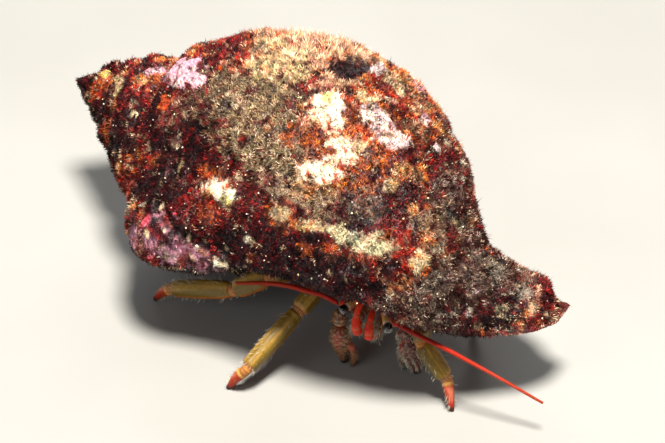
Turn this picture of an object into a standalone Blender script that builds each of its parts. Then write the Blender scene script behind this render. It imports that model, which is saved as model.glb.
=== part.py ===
"""Hermit crab peering out of a whelk-like murex shell, life size, as a still model.

Metres, +Z up, the floor at z = 0, the origin under the middle of the model's box.
The shell is a logarithmic spiral about an axis that lies almost flat: each turn is the
turn before it times GROWTH. Shell points are named by turn (degrees, 0 at the lip and
negative towards the apex) and by height along the axis as a share of the shell's length.
The crab's pieces are placed in its own frame: (across, ahead, up) in millimetres, where
across runs from its right to its left along the shell's axis, counted from the apex.
"""

import math

import bmesh
import bpy
import numpy as np
from mathutils import Vector

MM = 0.001

# Shell
SHELL_LENGTH = 57.5 * MM  # apex to the tip of the canal
TURNS = 4  # whorls
GROWTH = 1.58  # size of a whorl over the one before it
SEAM = 0.39  # height at which the next whorl starts, in shell lengths
SEAM_UP = SEAM / GROWTH
# (height, radius) of the last whorl at the lip, in shell lengths
PROFILE = (
    (0.20, 0.118), (0.262, 0.196), (0.34, 0.237), (0.50, 0.280), (0.64, 0.290),
    (0.76, 0.262), (0.86, 0.200), (0.93, 0.142), (0.975, 0.100), (1.0, 0.052),
)
# (height, degrees) by which the lip's edge runs ahead of or behind a straight one
LIP_SKEW = (
    (0.20, 0), (0.247, 0), (0.31, 1), (0.37, 3), (0.45, 1), (0.55, -10),
    (0.65, -15), (0.75, -15), (0.85, -6), (0.93, -1), (1.0, 0),
)
SKEW_RAMP = 130  # degrees over which the lip takes up its skew
CORNER = 0.20  # swelling of the lip's hind corner, as a share of the radius
CORNER_AT, CORNER_WIDE, CORNER_HIGH, CORNER_TALL = 0, 22, 0.37, 0.08
GROOVE = 0.07  # hollow behind that corner
GROOVE_AT, GROOVE_WIDE = -36, 13
# (turn, degrees wide, height, how tall, share of the radius) by which a place stands out or in
SWELLS = (
    (-118, 48, 0.29, 0.05, -0.07),  # worn shoulder on the upper side
    (-122, 45, 0.53, 0.15, 0.055),  # crown of the whorl
    (-122, 45, 0.86, 0.05, -0.03),  # its fall towards the canal
    (-135, 80, 0.965, 0.048, -0.72),  # thin far side of the canal
    (-490, 60, 0.33, 0.06, -0.12),  # worn shoulder of the whorl before
    (-372, 25, 0.36, 0.06, 0.12),  # its swollen edge over the lip
    (-735, 40, 0.34, 0.06, -0.08),
    (-846, 60, 0.32, 0.08, 0.01),  # crusts on the spire
    (-1206, 80, 0.32, 0.08, 0.30),
)
CANAL_FROM, CANAL_REACH = 0.95, 0.64  # height past which the canal's far side keeps up with the lip
CANAL_TURNS = (-330, -150)  # degrees over which it takes that up
KNOBS, KNOB = 7, 0.028  # shoulder knobs on a whorl, and their share of the radius
WALL = 1.45 * MM  # shell wall at the lip
COLUMELLA = 0.050  # radius of the central pillar, in shell lengths
CAVITY_FROM, CAVITY_TO = 0.40, 0.90  # heights between which the mouth is open
CAVITY_TURNS = (26, -235)  # degrees, from beyond the lip to the cavity's end
STEPS = 40  # facets around a whorl

# Pose of the shell
YAW, PITCH, ROLL = 32, 5, 4  # degrees: axis turned, canal end lowered, lip rolled down
APEX_UP = 13.72 * MM  # height of the apex over the floor

# Middle of the model's box, seen from above, in the frame that has its origin at the apex
MIDDLE = (24.34 * MM, -18.59 * MM)

GAP = 0.10 * MM  # between pieces that meet

OLIVE = (0.24, 0.155, 0.035)
DARK_OLIVE = (0.12, 0.07, 0.028)
ORANGE = (0.62, 0.13, 0.025)
RED = (0.60, 0.025, 0.012)
BROWN = (0.13, 0.045, 0.025)
FLESH = (0.55, 0.30, 0.18)


def curve_through(points, at):
    """Smooth curve through (x, y) points with no overshoot, at each x in `at`."""
    x, y = np.array(points, float).T
    h, d = np.diff(x), np.diff(y) / np.diff(x)
    slope = np.zeros(len(x))
    slope[0], slope[-1] = d[0], d[-1]
    same = d[:-1] * d[1:] > 0
    w1, w2 = 2 * h[1:] + h[:-1], h[1:] + 2 * h[:-1]
    safe = np.where(same, d[:-1], 1), np.where(same, d[1:], 1)
    slope[1:-1] = np.where(same, (w1 + w2) / (w1 / safe[0] + w2 / safe[1]), 0)
    at = np.clip(np.asarray(at, float), x[0], x[-1])
    i = np.clip(np.searchsorted(x, at, side="right") - 1, 0, len(h) - 1)
    t = (at - x[i]) / h[i]
    return (
        y[i] * (1 + 2 * t) * (1 - t) ** 2 + slope[i] * h[i] * t * (1 - t) ** 2
        + y[i + 1] * t * t * (3 - 2 * t) + slope[i + 1] * h[i] * t * t * (t - 1)
    )


def profile(high):
    """Radius of the last whorl at the lip, by height, both in shell lengths."""
    seam = float(curve_through(PROFILE, SEAM)) / GROWTH
    first, wide = PROFILE[1]
    rise = np.clip((high - SEAM_UP) / (first - SEAM_UP), 0, 1) ** 0.8
    return np.where(high < first, seam + (wide - seam) * rise, curve_through(PROFILE, high))


def hump(x, middle, wide):
    return np.exp(-(((x - middle) / wide) ** 2))


def eased(low, high, x):
    """0 below low, 1 above high, and a smooth way between."""
    t = np.clip((x - low) / (high - low), 0, 1)
    return t * t * (3 - 2 * t)


def swell_at(turn, high):
    """Share of the radius by which the shell stands out or in."""
    return sum(share * hump(turn, at, wide) * hump(high, up, tall) for at, wide, up, tall, share in SWELLS)


def shell_point(turn, high):
    """Point of the shell's outside in the shell's own frame, z along its axis."""
    ramp = np.clip((turn + SKEW_RAMP) / SKEW_RAMP, 0, 1) ** 1.6
    turn = turn + curve_through(LIP_SKEW, high) * ramp
    grown = GROWTH ** (turn / 360) * SHELL_LENGTH
    ease = np.clip((high - SEAM_UP) / 0.05, 0, 1)
    corner = CORNER * hump(turn, CORNER_AT, CORNER_WIDE) * hump(high, CORNER_HIGH, CORNER_TALL) * ease
    groove = GROOVE * hump(turn, GROOVE_AT, GROOVE_WIDE) * hump(high, CORNER_HIGH + 0.03, 0.1) * ease
    across_band = np.clip((high - SEAM_UP) / (SEAM - SEAM_UP), 0, 1)
    knob = KNOB * np.sin(math.pi * across_band) ** 2 * (0.5 + 0.5 * np.cos(np.radians(KNOBS * turn)))
    r = profile(high) * (1 + corner - groove + swell_at(turn, high) * ease + knob)
    a = np.radians(turn)
    reach = CANAL_REACH * eased(CANAL_FROM, 1.0, high) * eased(*CANAL_TURNS, turn)
    along = grown * (high - 0.12 * corner) + (SHELL_LENGTH - grown) * reach
    return np.stack([grown * r * np.cos(a), grown * r * np.sin(a), along], -1)


def frame_of_shell():
    """Columns: directions in the world of the shell's own x, y and z."""
    yaw, pitch, roll = (math.radians(v) for v in (YAW, PITCH, ROLL))
    axis = Vector((math.cos(pitch) * math.cos(yaw), -math.cos(pitch) * math.sin(yaw), -math.sin(pitch)))
    ahead = Vector((-math.sin(yaw), -math.cos(yaw), 0))
    ahead = (ahead - axis * ahead.dot(axis)).normalized()
    down = axis.cross(ahead)
    x = ahead * math.cos(roll) + down * math.sin(roll)
    return np.array([x, axis.cross(x), axis]).T


TO_WORLD = frame_of_shell()
APEX = np.array([-MIDDLE[0], -MIDDLE[1], APEX_UP])


def shell_to_world(points):
    return points @ TO_WORLD.T + APEX


def crab_to_world(point):
    """(across, ahead, up) in millimetres to the world."""
    across, ahead, up = point
    yaw = math.radians(YAW)
    return Vector((
        (across * math.cos(yaw) - ahead * math.sin(yaw)) * MM - MIDDLE[0],
        (-across * math.sin(yaw) - ahead * math.cos(yaw)) * MM - MIDDLE[1],
        up * MM,
    ))


def add_object(name, points, faces, colour, rough=0.45):
    mesh = bpy.data.meshes.new(name)
    mesh.from_pydata([tuple(map(float, p)) for p in points], [], faces)
    built = bmesh.new()
    built.from_mesh(mesh)
    bmesh.ops.recalc_face_normals(built, faces=built.faces)
    if built.calc_volume(signed=True) < 0:
        bmesh.ops.reverse_faces(built, faces=built.faces)
    built.to_mesh(mesh)
    built.free()
    material = bpy.data.materials.new(name)
    material.use_nodes = True
    shader = material.node_tree.nodes["Principled BSDF"]
    shader.inputs["Base Color"].default_value = (*colour, 1)
    shader.inputs["Roughness"].default_value = rough
    mesh.materials.append(material)
    thing = bpy.data.objects.new(name, mesh)
    bpy.context.scene.collection.objects.link(thing)
    return thing


def zipper(left, right, key):
    """Triangles between two chains that share their first and last points."""
    faces, i, j = [(left[0], left[1], right[1])], 1, 1
    while i < len(left) - 2 or j < len(right) - 2:
        step_left = j >= len(right) - 2 or (i < len(left) - 2 and key[left[i + 1]] <= key[right[j + 1]])
        if step_left:
            faces.append((left[i], left[i + 1], right[j]))
            i += 1
        else:
            faces.append((left[i], right[j + 1], right[j]))
            j += 1
    faces.append((left[i], left[-1], right[j]))
    return faces


def whole_shell():
    """The shell filled in to its axis, as points and faces."""
    early = np.linspace(SEAM_UP, SEAM, 6)
    late = np.append(np.linspace(0.43, 0.925, 12), (0.965, 1.0))
    rows, last = STEPS * TURNS, STEPS * (TURNS - 1)
    points, ids, axis = [], {}, {}

    def put(place):
        points.append(place)
        return len(points) - 1

    for i in range(rows + 1):
        turn = (i / STEPS - TURNS) * 360
        heights = np.concatenate([early, late]) if i >= last else early
        ring = shell_point(np.full(len(heights), turn), heights)
        for k, place in enumerate(ring):
            joined = k == 0 and i >= STEPS
            ids[i, k] = ids[i - STEPS, len(early) - 1] if joined else put(place)
        if i >= last:
            axis[i] = put((0, 0, ring[-1][2]))
    faces = []
    for i in range(rows):
        count = len(early) + (len(late) if i >= last else 0)
        faces += [(ids[i, k], ids[i + 1, k], ids[i + 1, k + 1], ids[i, k + 1]) for k in range(count - 1)]
        if i >= last:
            faces.append((ids[i, count - 1], ids[i + 1, count - 1], axis[i + 1], axis[i]))
    count = len(early) + len(late)
    outer = [ids[rows, k] for k in range(count)] + [axis[rows]]
    inner = [ids[last, k] for k in range(len(early) - 1, count)] + [axis[i] for i in range(last, rows + 1)]
    faces += zipper(outer, inner, {n: p[2] for n, p in enumerate(points)})
    tip = put((0, 0, 0.002 * SHELL_LENGTH))
    loop = [ids[i, 0] for i in range(STEPS + 1)] + [ids[0, k] for k in range(len(early) - 2, 0, -1)]
    faces += [(a, b, tip) for a, b in zip(loop, loop[1:] + loop[:1])]
    return np.array(points, float), faces


def cavity():
    """The space the crab lives in, run out beyond the lip, as points and faces."""
    wall = WALL / SHELL_LENGTH
    heights = np.linspace(CAVITY_FROM, CAVITY_TO, 8)
    pillar = np.maximum(COLUMELLA, np.where(
        heights * GROWTH < 1, profile(np.minimum(heights * GROWTH, 1)) / GROWTH + wall, 0))
    turns = np.linspace(*CAVITY_TURNS, 21)
    points, faces, n = [], [], 2 * len(heights)
    for turn in turns:
        outer = profile(heights) * (1 + np.minimum(swell_at(turn, heights), 0)) - wall
        inner = np.minimum(pillar, outer - 0.012)
        grown, a = GROWTH ** (turn / 360) * SHELL_LENGTH, math.radians(turn)
        for r, h in list(zip(outer, heights)) + list(zip(inner, heights))[::-1]:
            points.append((grown * r * math.cos(a), grown * r * math.sin(a), grown * h))
    for i in range(len(turns) - 1):
        for k in range(n):
            m = (k + 1) % n
            faces.append((i * n + k, i * n + m, (i + 1) * n + m, (i + 1) * n + k))
    faces += [tuple(range(n)), tuple(range((len(turns) - 1) * n, len(turns) * n))]
    return np.array(points), faces


def build_shell():
    points, faces = whole_shell()
    points = shell_to_world(points)
    points[:, 2] = np.maximum(points[:, 2], 0)
    shell = add_object("shell", points, faces, (0.30, 0.16, 0.12), 0.7)
    points, faces = cavity()
    cutter = add_object("shell_cavity_cutter", shell_to_world(points), faces, (0.5, 0.5, 0.5))
    cutter.hide_render = True
    cutter.display_type = "WIRE"
    cut = shell.modifiers.new("cavity", "BOOLEAN")
    cut.operation, cut.solver, cut.object = "DIFFERENCE", "EXACT", cutter


def sweep(name, path, radii, colour, sides=9, rings=3, trim=(GAP / 2, GAP / 2), blunt=(0.62, 0.62),
          ref=None, rough=0.3):
    """A rounded limb along `path` (crab frame). radii: (across, upright) half-thicknesses in mm."""
    line = np.array([crab_to_world(p) for p in path])
    half = np.array([r if isinstance(r, tuple) else (r, r) for r in radii], float) * MM
    run = np.concatenate([[0], np.cumsum(np.linalg.norm(np.diff(line, axis=0), axis=1))])
    start, end = trim[0], run[-1] - trim[1]
    stops = np.linspace(start, end, rings + 2)[1:-1]
    ease = [min(0.45 * half[0].mean(), (end - start) * 0.2), min(0.45 * half[-1].mean(), (end - start) * 0.2)]
    stops = np.concatenate([[start, start + ease[0]], stops, [end - ease[1], end]])
    at = np.stack([curve_through(np.stack([run, line[:, k]], 1), stops) for k in range(3)], 1)
    size = np.stack([curve_through(np.stack([run, half[:, k]], 1), stops) for k in range(2)], 1)
    size[0] *= blunt[0]
    size[-1] *= blunt[1]
    along = [Vector(v).normalized() for v in np.gradient(at, axis=0)]
    if ref is None:
        ahead = crab_to_world((0, 1, 0)) - crab_to_world((0, 0, 0))
        ref = Vector((0, 0, 1)) if abs(along[0].z) < 0.75 else ahead
    side = along[0].cross(Vector(ref)).normalized()
    points, faces = [], []
    for place, thick, way in zip(at, size, along):
        side = (side - way * side.dot(way)).normalized()
        top = side.cross(way)
        for k in range(sides):
            a = math.tau * (k + 0.5) / sides
            points.append(Vector(place) + side * thick[0] * math.cos(a) + top * thick[1] * math.sin(a))
    for i in range(len(at) - 1):
        for k in range(sides):
            m = (k + 1) % sides
            faces.append((i * sides + k, i * sides + m, (i + 1) * sides + m, (i + 1) * sides + k))
    faces += [tuple(range(sides)), tuple(range(len(points) - sides, len(points)))]
    points = [(p.x, p.y, max(p.z, 0)) for p in points]
    return add_object(name, points, faces, colour, rough)


def bend(a, b, c):
    """Half of the turn at b, in radians."""
    first, second = (Vector(q) - Vector(p) for p, q in ((a, b), (b, c)))
    return first.angle(second) / 2


SEGMENTS = ("merus", "carpus", "propodus", "dactyl")
SEGMENT_RADII = {
    "merus": ((0.66, 0.80), (0.80, 1.00), (0.82, 0.96)),
    "carpus": ((0.76, 0.84), (0.92, 1.06), (0.90, 1.02)),
    "propodus": ((0.86, 0.94), (0.92, 1.02), (0.80, 0.88)),
    "dactyl": ((0.60, 0.66), (0.46, 0.50), (0.20, 0.22)),
}
SEGMENT_COLOURS = {"merus": OLIVE, "carpus": OLIVE, "propodus": OLIVE, "dactyl": ORANGE}
# Joints from the body out to the claw's tip
LEGS = {
    "leg2_r": ((38.2, 6.2, 8.4), (34.9, 8.5, 7.4), (34.2, 11.3, 6.0), (32.4, 17.8, 2.6), (30.7, 18.4, -0.08)),
    "leg3_r": ((38.0, 4.9, 10.2), (30.7, 10.5, 8.2), (27.1, 11.4, 5.6), (19.9, 11.7, 2.8),
               (17.4, 11.3, -0.08)),
    "leg2_l": ((44.2, 6.4, 8.4), (46.2, 8.6, 8.2), (46.3, 8.9, 6.0), (49.2, 9.0, 2.7), (50.5, 10.1, -0.08)),
    "leg3_l": ((44.6, 4.8, 10.0), (48.8, 5.2, 8.4), (49.2, 3.4, 6.2), (47.4, 0.6, 2.9), (46.3, -1.3, -0.08)),
}


def build_legs():
    for leg, joints in LEGS.items():
        for i, segment in enumerate(SEGMENTS):
            a, b = Vector(joints[i]), Vector(joints[i + 1])
            radii = SEGMENT_RADII[segment]
            trim = [GAP / 2, GAP / 2]
            if i:
                trim[0] += 0.5 * radii[0][1] * MM * math.tan(bend(joints[i - 1], a, b))
            if i < 3:
                trim[1] += 0.5 * radii[2][1] * MM * math.tan(bend(a, b, joints[i + 2]))
            middle = (a + b) / 2
            if segment == "dactyl":
                middle += Vector((0, 0, 0.28))
            sweep(f"{leg}_{segment}", [a, middle, b], radii, SEGMENT_COLOURS[segment], trim=trim,
                  blunt=(0.62, 0.75 if segment == "dactyl" else 0.62))


def build_claws():
    claws = {
        "r": dict(arm=((40.0, 7.7, 7.1), (39.2, 8.8, 7.2), (38.5, 9.6, 7.0)),
                  wrist=((38.4, 9.8, 6.9), (38.3, 10.4, 6.4), (38.4, 10.5, 5.5)),
                  hand=((38.4, 10.5, 5.4), (38.3, 10.3, 3.9), (38.2, 9.8, 2.3), (38.2, 9.3, -0.1)),
                  thumb=((39.5, 10.1, 2.9), (39.6, 9.8, 1.8), (39.1, 9.4, -0.1))),
        "l": dict(arm=((42.7, 7.3, 7.0), (43.4, 8.0, 7.0), (44.0, 8.4, 6.6)),
                  wrist=((44.1, 8.5, 6.5), (44.4, 8.6, 6.0), (44.5, 8.5, 5.2)),
                  hand=((44.5, 8.4, 5.1), (44.7, 8.1, 3.7), (44.9, 7.6, 2.2), (44.9, 7.0, -0.1)),
                  thumb=((43.7, 7.9, 2.9), (43.5, 7.5, 1.8), (43.8, 7.1, -0.1))),
    }
    for side, claw in claws.items():
        dark = DARK_OLIVE if side == "r" else BROWN
        sweep(f"claw_arm_{side}", claw["arm"], (0.62, 0.72, 0.66), BROWN)
        sweep(f"claw_wrist_{side}", claw["wrist"], (0.62, 0.78, 0.74), dark)
        sweep(f"claw_hand_{side}", claw["hand"], ((0.80, 0.75), (1.10, 0.98), (0.92, 0.80), (0.34, 0.36)),
              dark, sides=12, rings=5)
        sweep(f"claw_thumb_{side}", claw["thumb"], ((0.28, 0.36), (0.34, 0.40), (0.24, 0.28)), dark, sides=8)


def build_head():
    stalks = {"r": ((40.66, 9.26, 9.52), (39.7, 11.45, 9.05)), "l": ((42.14, 9.16, 9.22), (44.0, 11.3, 8.70))}
    for side, (foot, end) in stalks.items():
        way = (Vector(end) - Vector(foot)).normalized()
        middle = (Vector(foot) + Vector(end)) / 2
        sweep(f"eyestalk_{side}", [foot, middle, end], (0.40, 0.34, 0.42), FLESH, sides=8)
        tip = Vector(end) + way * 0.06
        sweep(f"cornea_{side}", [tip, tip + way * 0.4, tip + way * 0.78], (0.44, 0.46, 0.26),
              (0.01, 0.01, 0.01), sides=10, rings=2, blunt=(0.9, 0.5))
    feelers = {
        "antennule_r": (((41.3, 9.4, 9.85), (41.05, 11.0, 9.9), (41.0, 11.8, 9.0), (41.1, 12.1, 7.9),
                         (41.35, 12.1, 6.9)),
                        (0.26, 0.27, 0.34, 0.50, 0.44), RED),
        "antennule_l": (((41.5, 9.3, 8.6), (42.0, 10.6, 8.9), (42.2, 11.4, 8.4), (42.3, 11.8, 7.7),
                         (42.4, 11.9, 6.6)),
                        (0.26, 0.28, 0.34, 0.44, 0.42), RED),
        "antenna_base_r": (((39.4, 9.3, 8.3), (39.1, 10.1, 8.35), (38.7, 11.0, 8.7)),
                           (0.40, 0.42, 0.34), RED),
        "antenna_base_l": (((43.2, 8.9, 8.0), (43.9, 9.7, 8.0), (44.5, 10.3, 8.3)),
                           (0.40, 0.42, 0.34), RED),
        "antenna_whip_r": (((38.6, 11.1, 8.8), (36.7, 11.5, 9.4), (34.7, 11.8, 9.4), (31.6, 12.0, 8.8),
                            (28.2, 12.9, 8.0)),
                           (0.27, 0.26, 0.26, 0.26, 0.25), RED),
        "antenna_whip_l": (((44.6, 10.4, 8.35), (48.1, 10.4, 7.9), (53.0, 9.6, 6.3), (59.0, 8.3, 3.7)),
                           (0.27, 0.26, 0.26, 0.25), RED),
        "mouth_foot_r": (((40.5, 8.8, 7.6), (40.3, 10.1, 7.0), (40.3, 10.7, 5.6)), (0.40, 0.44, 0.32), BROWN),
        "mouth_foot_l": (((42.0, 8.6, 7.4), (42.3, 9.8, 6.8), (42.2, 10.4, 5.5)), (0.40, 0.44, 0.32), BROWN),
    }
    for name, (path, radii, colour) in feelers.items():
        rings = 9 if "whip" in name else 5
        sweep(name, path, radii, colour, sides=7, rings=rings)


def inside_shell(turn, out, high):
    """Crab-frame place inside the whorl, by turn, radius and height in grown shell lengths."""
    grown, a = GROWTH ** (turn / 360) * SHELL_LENGTH, math.radians(turn)
    own = np.array([out * math.cos(a), out * math.sin(a), high]) * grown
    spot = Vector(shell_to_world(own))
    yaw = math.radians(YAW)
    x, y = spot.x + MIDDLE[0], spot.y + MIDDLE[1]
    across, ahead = x * math.cos(yaw) - y * math.sin(yaw), -x * math.sin(yaw) - y * math.cos(yaw)
    return across / MM, ahead / MM, spot.z / MM


def build_body():
    ahead = Vector((0, 1, 0))
    back = ((41.3, 9.1, 9.5), (41.3, 7.4, 10.9), (41.2, 5.8, 12.4), (41.0, 4.6, 13.9))
    sweep("shield", back, ((1.25, 1.0), (2.2, 1.45), (2.55, 1.7), (2.5, 1.8)), OLIVE, sides=14, rings=4,
          trim=(0, GAP))
    middle = inside_shell(-52, 0.150, 0.70)
    first = inside_shell(-70, 0.160, 0.66)
    sweep("carapace_rear", [(40.2, 4.0, 15.6), middle, first], ((1.9, 1.6), (2.6, 2.3), (2.8, 2.6)), FLESH,
          sides=12, trim=(GAP, 4 * GAP))
    cuts = (-70, -112, -156, -198)
    stout = (2.9, 3.2, 2.9, 2.2)
    for k, name in enumerate(("abdomen_front", "abdomen_middle", "abdomen_end")):
        turns = np.linspace(cuts[k], cuts[k + 1], 4)
        deep = np.clip((-70 - turns) / 60, 0, 1)
        path = [inside_shell(t, 0.160 + 0.006 * d, 0.66 - 0.03 * d) for t, d in zip(turns, deep)]
        radii = tuple(np.linspace(stout[k], stout[k + 1], 4))
        sweep(name, path, [float(r) for r in radii], FLESH, sides=12, rings=3,
              trim=(4 * GAP, 4 * GAP), blunt=(0.8, 0.8))
    fan = [inside_shell(t, 0.166, 0.63) for t in (-199, -208, -216)]
    sweep("tail_fan", fan, ((1.5, 1.2), (1.8, 0.9), (1.0, 0.6)), FLESH, sides=10, ref=ahead)
    small = {
        "leg4_r": ((38.3, 5.0, 12.9), (37.2, 6.4, 12.4), (37.0, 7.8, 11.6)),
        "leg4_l": ((44.0, 5.0, 12.9), (45.0, 6.4, 12.4), (45.2, 7.8, 11.6)),
        "leg5_r": ((39.4, 7.4, 15.0), (38.2, 8.5, 14.9), (37.2, 9.0, 14.0)),
        "leg5_l": ((43.9, 4.9, 14.8), (44.9, 6.0, 14.7), (45.2, 6.9, 14.0)),
    }
    for name, path in small.items():
        sweep(name, path, (0.40, 0.44, 0.30), FLESH, sides=7)


for thing in list(bpy.data.objects):
    bpy.data.objects.remove(thing, do_unlink=True)

build_shell()
build_legs()
build_claws()
build_head()
build_body()
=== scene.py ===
"""Looks of the hermit crab in its overgrown murex shell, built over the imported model.

Metres, +Z up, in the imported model's frame, with the floor at z = 0.
Shell places are named as the solids name them: by turn (degrees along the spiral, 0 at the lip and
negative towards the apex) and by height along the axis as a share of the shell's length.
The crab's pieces are placed in its own frame: (across, ahead, up) in millimetres.
"""

import math

import bmesh
import bpy
import numpy as np
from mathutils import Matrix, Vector
from mathutils.bvhtree import BVHTree
from mathutils.kdtree import KDTree


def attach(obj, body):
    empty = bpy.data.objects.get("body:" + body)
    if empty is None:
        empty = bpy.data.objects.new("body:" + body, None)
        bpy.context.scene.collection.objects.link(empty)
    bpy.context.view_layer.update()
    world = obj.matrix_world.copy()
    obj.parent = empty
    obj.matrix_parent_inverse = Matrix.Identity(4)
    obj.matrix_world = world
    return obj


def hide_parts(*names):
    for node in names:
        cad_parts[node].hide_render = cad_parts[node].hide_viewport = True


MM = 0.001

# ---------------------------------------------------------------- the shell's own sizes
SHELL_LENGTH = 57.5 * MM  # apex to the tip of the canal
TURNS = 4  # whorls
GROWTH = 1.58  # size of a whorl over the one before it
SEAM = 0.39  # height at which the next whorl starts, in shell lengths
SEAM_UP = SEAM / GROWTH
# (height, radius) of the last whorl at the lip, in shell lengths
PROFILE = (
    (0.20, 0.118), (0.262, 0.196), (0.34, 0.237), (0.50, 0.280), (0.64, 0.290),
    (0.76, 0.262), (0.86, 0.200), (0.93, 0.142), (0.975, 0.100), (1.0, 0.052),
)
# (height, degrees) by which the lip's edge runs ahead of or behind a straight one
LIP_SKEW = (
    (0.20, 0), (0.247, 0), (0.31, 1), (0.37, 3), (0.45, 1), (0.55, -10),
    (0.65, -15), (0.75, -15), (0.85, -6), (0.93, -1), (1.0, 0),
)
SKEW_RAMP = 130  # degrees over which the lip takes up its skew
CORNER = 0.20  # swelling of the lip's hind corner, as a share of the radius
CORNER_AT, CORNER_WIDE, CORNER_HIGH, CORNER_TALL = 0, 22, 0.37, 0.08
GROOVE, GROOVE_AT, GROOVE_WIDE = 0.07, -36, 13  # hollow behind that corner
# (turn, degrees wide, height, how tall, share of the radius) by which a place stands out or in
SWELLS = (
    (-118, 48, 0.29, 0.05, -0.07),  # worn shoulder on the upper side
    (-122, 45, 0.53, 0.15, 0.055),  # crown of the whorl
    (-122, 45, 0.86, 0.05, -0.03),  # its fall towards the canal
    (-135, 80, 0.965, 0.048, -0.72),  # thin far side of the canal
    (-490, 60, 0.33, 0.06, -0.12),  # worn shoulder of the whorl before
    (-372, 25, 0.36, 0.06, 0.12),  # its swollen edge over the lip
    (-735, 40, 0.34, 0.06, -0.08),
    (-846, 60, 0.32, 0.08, 0.01),  # crusts on the spire
    (-1206, 80, 0.32, 0.08, 0.30),
)
CANAL_FROM, CANAL_REACH = 0.95, 0.64  # height past which the canal's far side keeps up with the lip
CANAL_TURNS = (-330, -150)  # degrees over which it takes that up
KNOBS, KNOB = 7, 0.028  # shoulder knobs on a whorl, and their share of the radius
WALL = 1.45 * MM  # shell wall at the lip
DEEPER = 0.75 * MM  # more wall behind the lip, where the skin lies in
COLUMELLA = 0.050  # radius of the central pillar, in shell lengths
CAVITY_FROM, CAVITY_TO = 0.40, 0.90  # heights between which the mouth is open
CAVITY_TURNS = (26, -235)  # degrees, from beyond the lip to the cavity's end
YAW, PITCH, ROLL = 32, 5, 4  # degrees: axis turned, canal end lowered, lip rolled down
APEX_UP = 13.72 * MM  # height of the apex over the floor
MIDDLE = (24.34 * MM, -18.59 * MM)  # of the model, seen from above, from the apex

# Fineness of the shell's skin and of its cavity
STEPS = 300  # facets around a whorl
EARLY, LATE = 42, 138  # rows of facets before and after the seam
CAVITY_ROWS, CAVITY_STEPS = 44, 130
LIP_ROUND = 5  # degrees over which the lip's outer edge turns in

# Turf
FILAMENTS, FILAMENTS_IN_PIECE = 62000, 21000  # bent ones
SPIKES, SPIKES_IN_PIECE = 165000, 60000  # straight ones
TRIED = 1.9  # places tried for each that is kept
IN_TUFT = 26  # filaments in a tuft
GRIT = 1700  # sand grains caught in it

# ---------------------------------------------------------------- tones, linear
TONES = {
    "olive": (0.300, 0.225, 0.115),
    "grey_brown": (0.165, 0.102, 0.072),
    "ash": (0.46, 0.385, 0.30),
    "beige": (0.56, 0.41, 0.25),
    "cream": (0.80, 0.64, 0.38),
    "white": (0.80, 0.745, 0.57),
    "yellow": (0.76, 0.58, 0.25),
    "salmon": (0.84, 0.42, 0.27),
    "orange": (0.72, 0.175, 0.015),
    "orange_brown": (0.33, 0.052, 0.012),
    "orange_red": (0.52, 0.048, 0.010),
    "red": (0.38, 0.014, 0.010),
    "maroon": (0.125, 0.009, 0.014),
    "dark": (0.030, 0.005, 0.007),
    "black": (0.007, 0.004, 0.005),
    "pink": (0.56, 0.26, 0.34),
    "pink_red": (0.50, 0.065, 0.10),
    "lilac": (0.60, 0.44, 0.45),
    "mauve": (0.195, 0.087, 0.135),
    "rust": (0.27, 0.060, 0.045),
    "yellow_green": (0.66, 0.62, 0.10),
    "pale_green": (0.66, 0.68, 0.40),
    "teal": (0.13, 0.19, 0.165),
    "lip": (0.66, 0.34, 0.20),
    "throat": (0.22, 0.09, 0.06),
}
# The other two tones found among each tone's grains
GRAINS = {
    "olive": ("maroon", "beige"), "grey_brown": ("dark", "ash"), "ash": ("grey_brown", "dark"),
    "beige": ("grey_brown", "cream"), "cream": ("yellow", "orange"), "white": ("cream", "orange_red"),
    "yellow": ("beige", "salmon"), "salmon": ("cream", "orange"), "orange": ("yellow", "red"),
    "orange_brown": ("orange", "maroon"), "orange_red": ("orange", "maroon"), "red": ("orange_red", "maroon"),
    "maroon": ("red", "dark"), "dark": ("maroon", "black"), "black": ("dark", "beige"),
    "pink": ("lilac", "mauve"), "pink_red": ("pink", "red"), "lilac": ("white", "rust"),
    "mauve": ("pink", "maroon"), "rust": ("maroon", "beige"), "yellow_green": ("cream", "yellow"),
    "pale_green": ("cream", "beige"), "teal": ("grey_brown", "beige"),
}

PATCHY = ("olive", "grey_brown", "beige", "salmon", "yellow", "mauve")  # with holes that show what lies below

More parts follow.
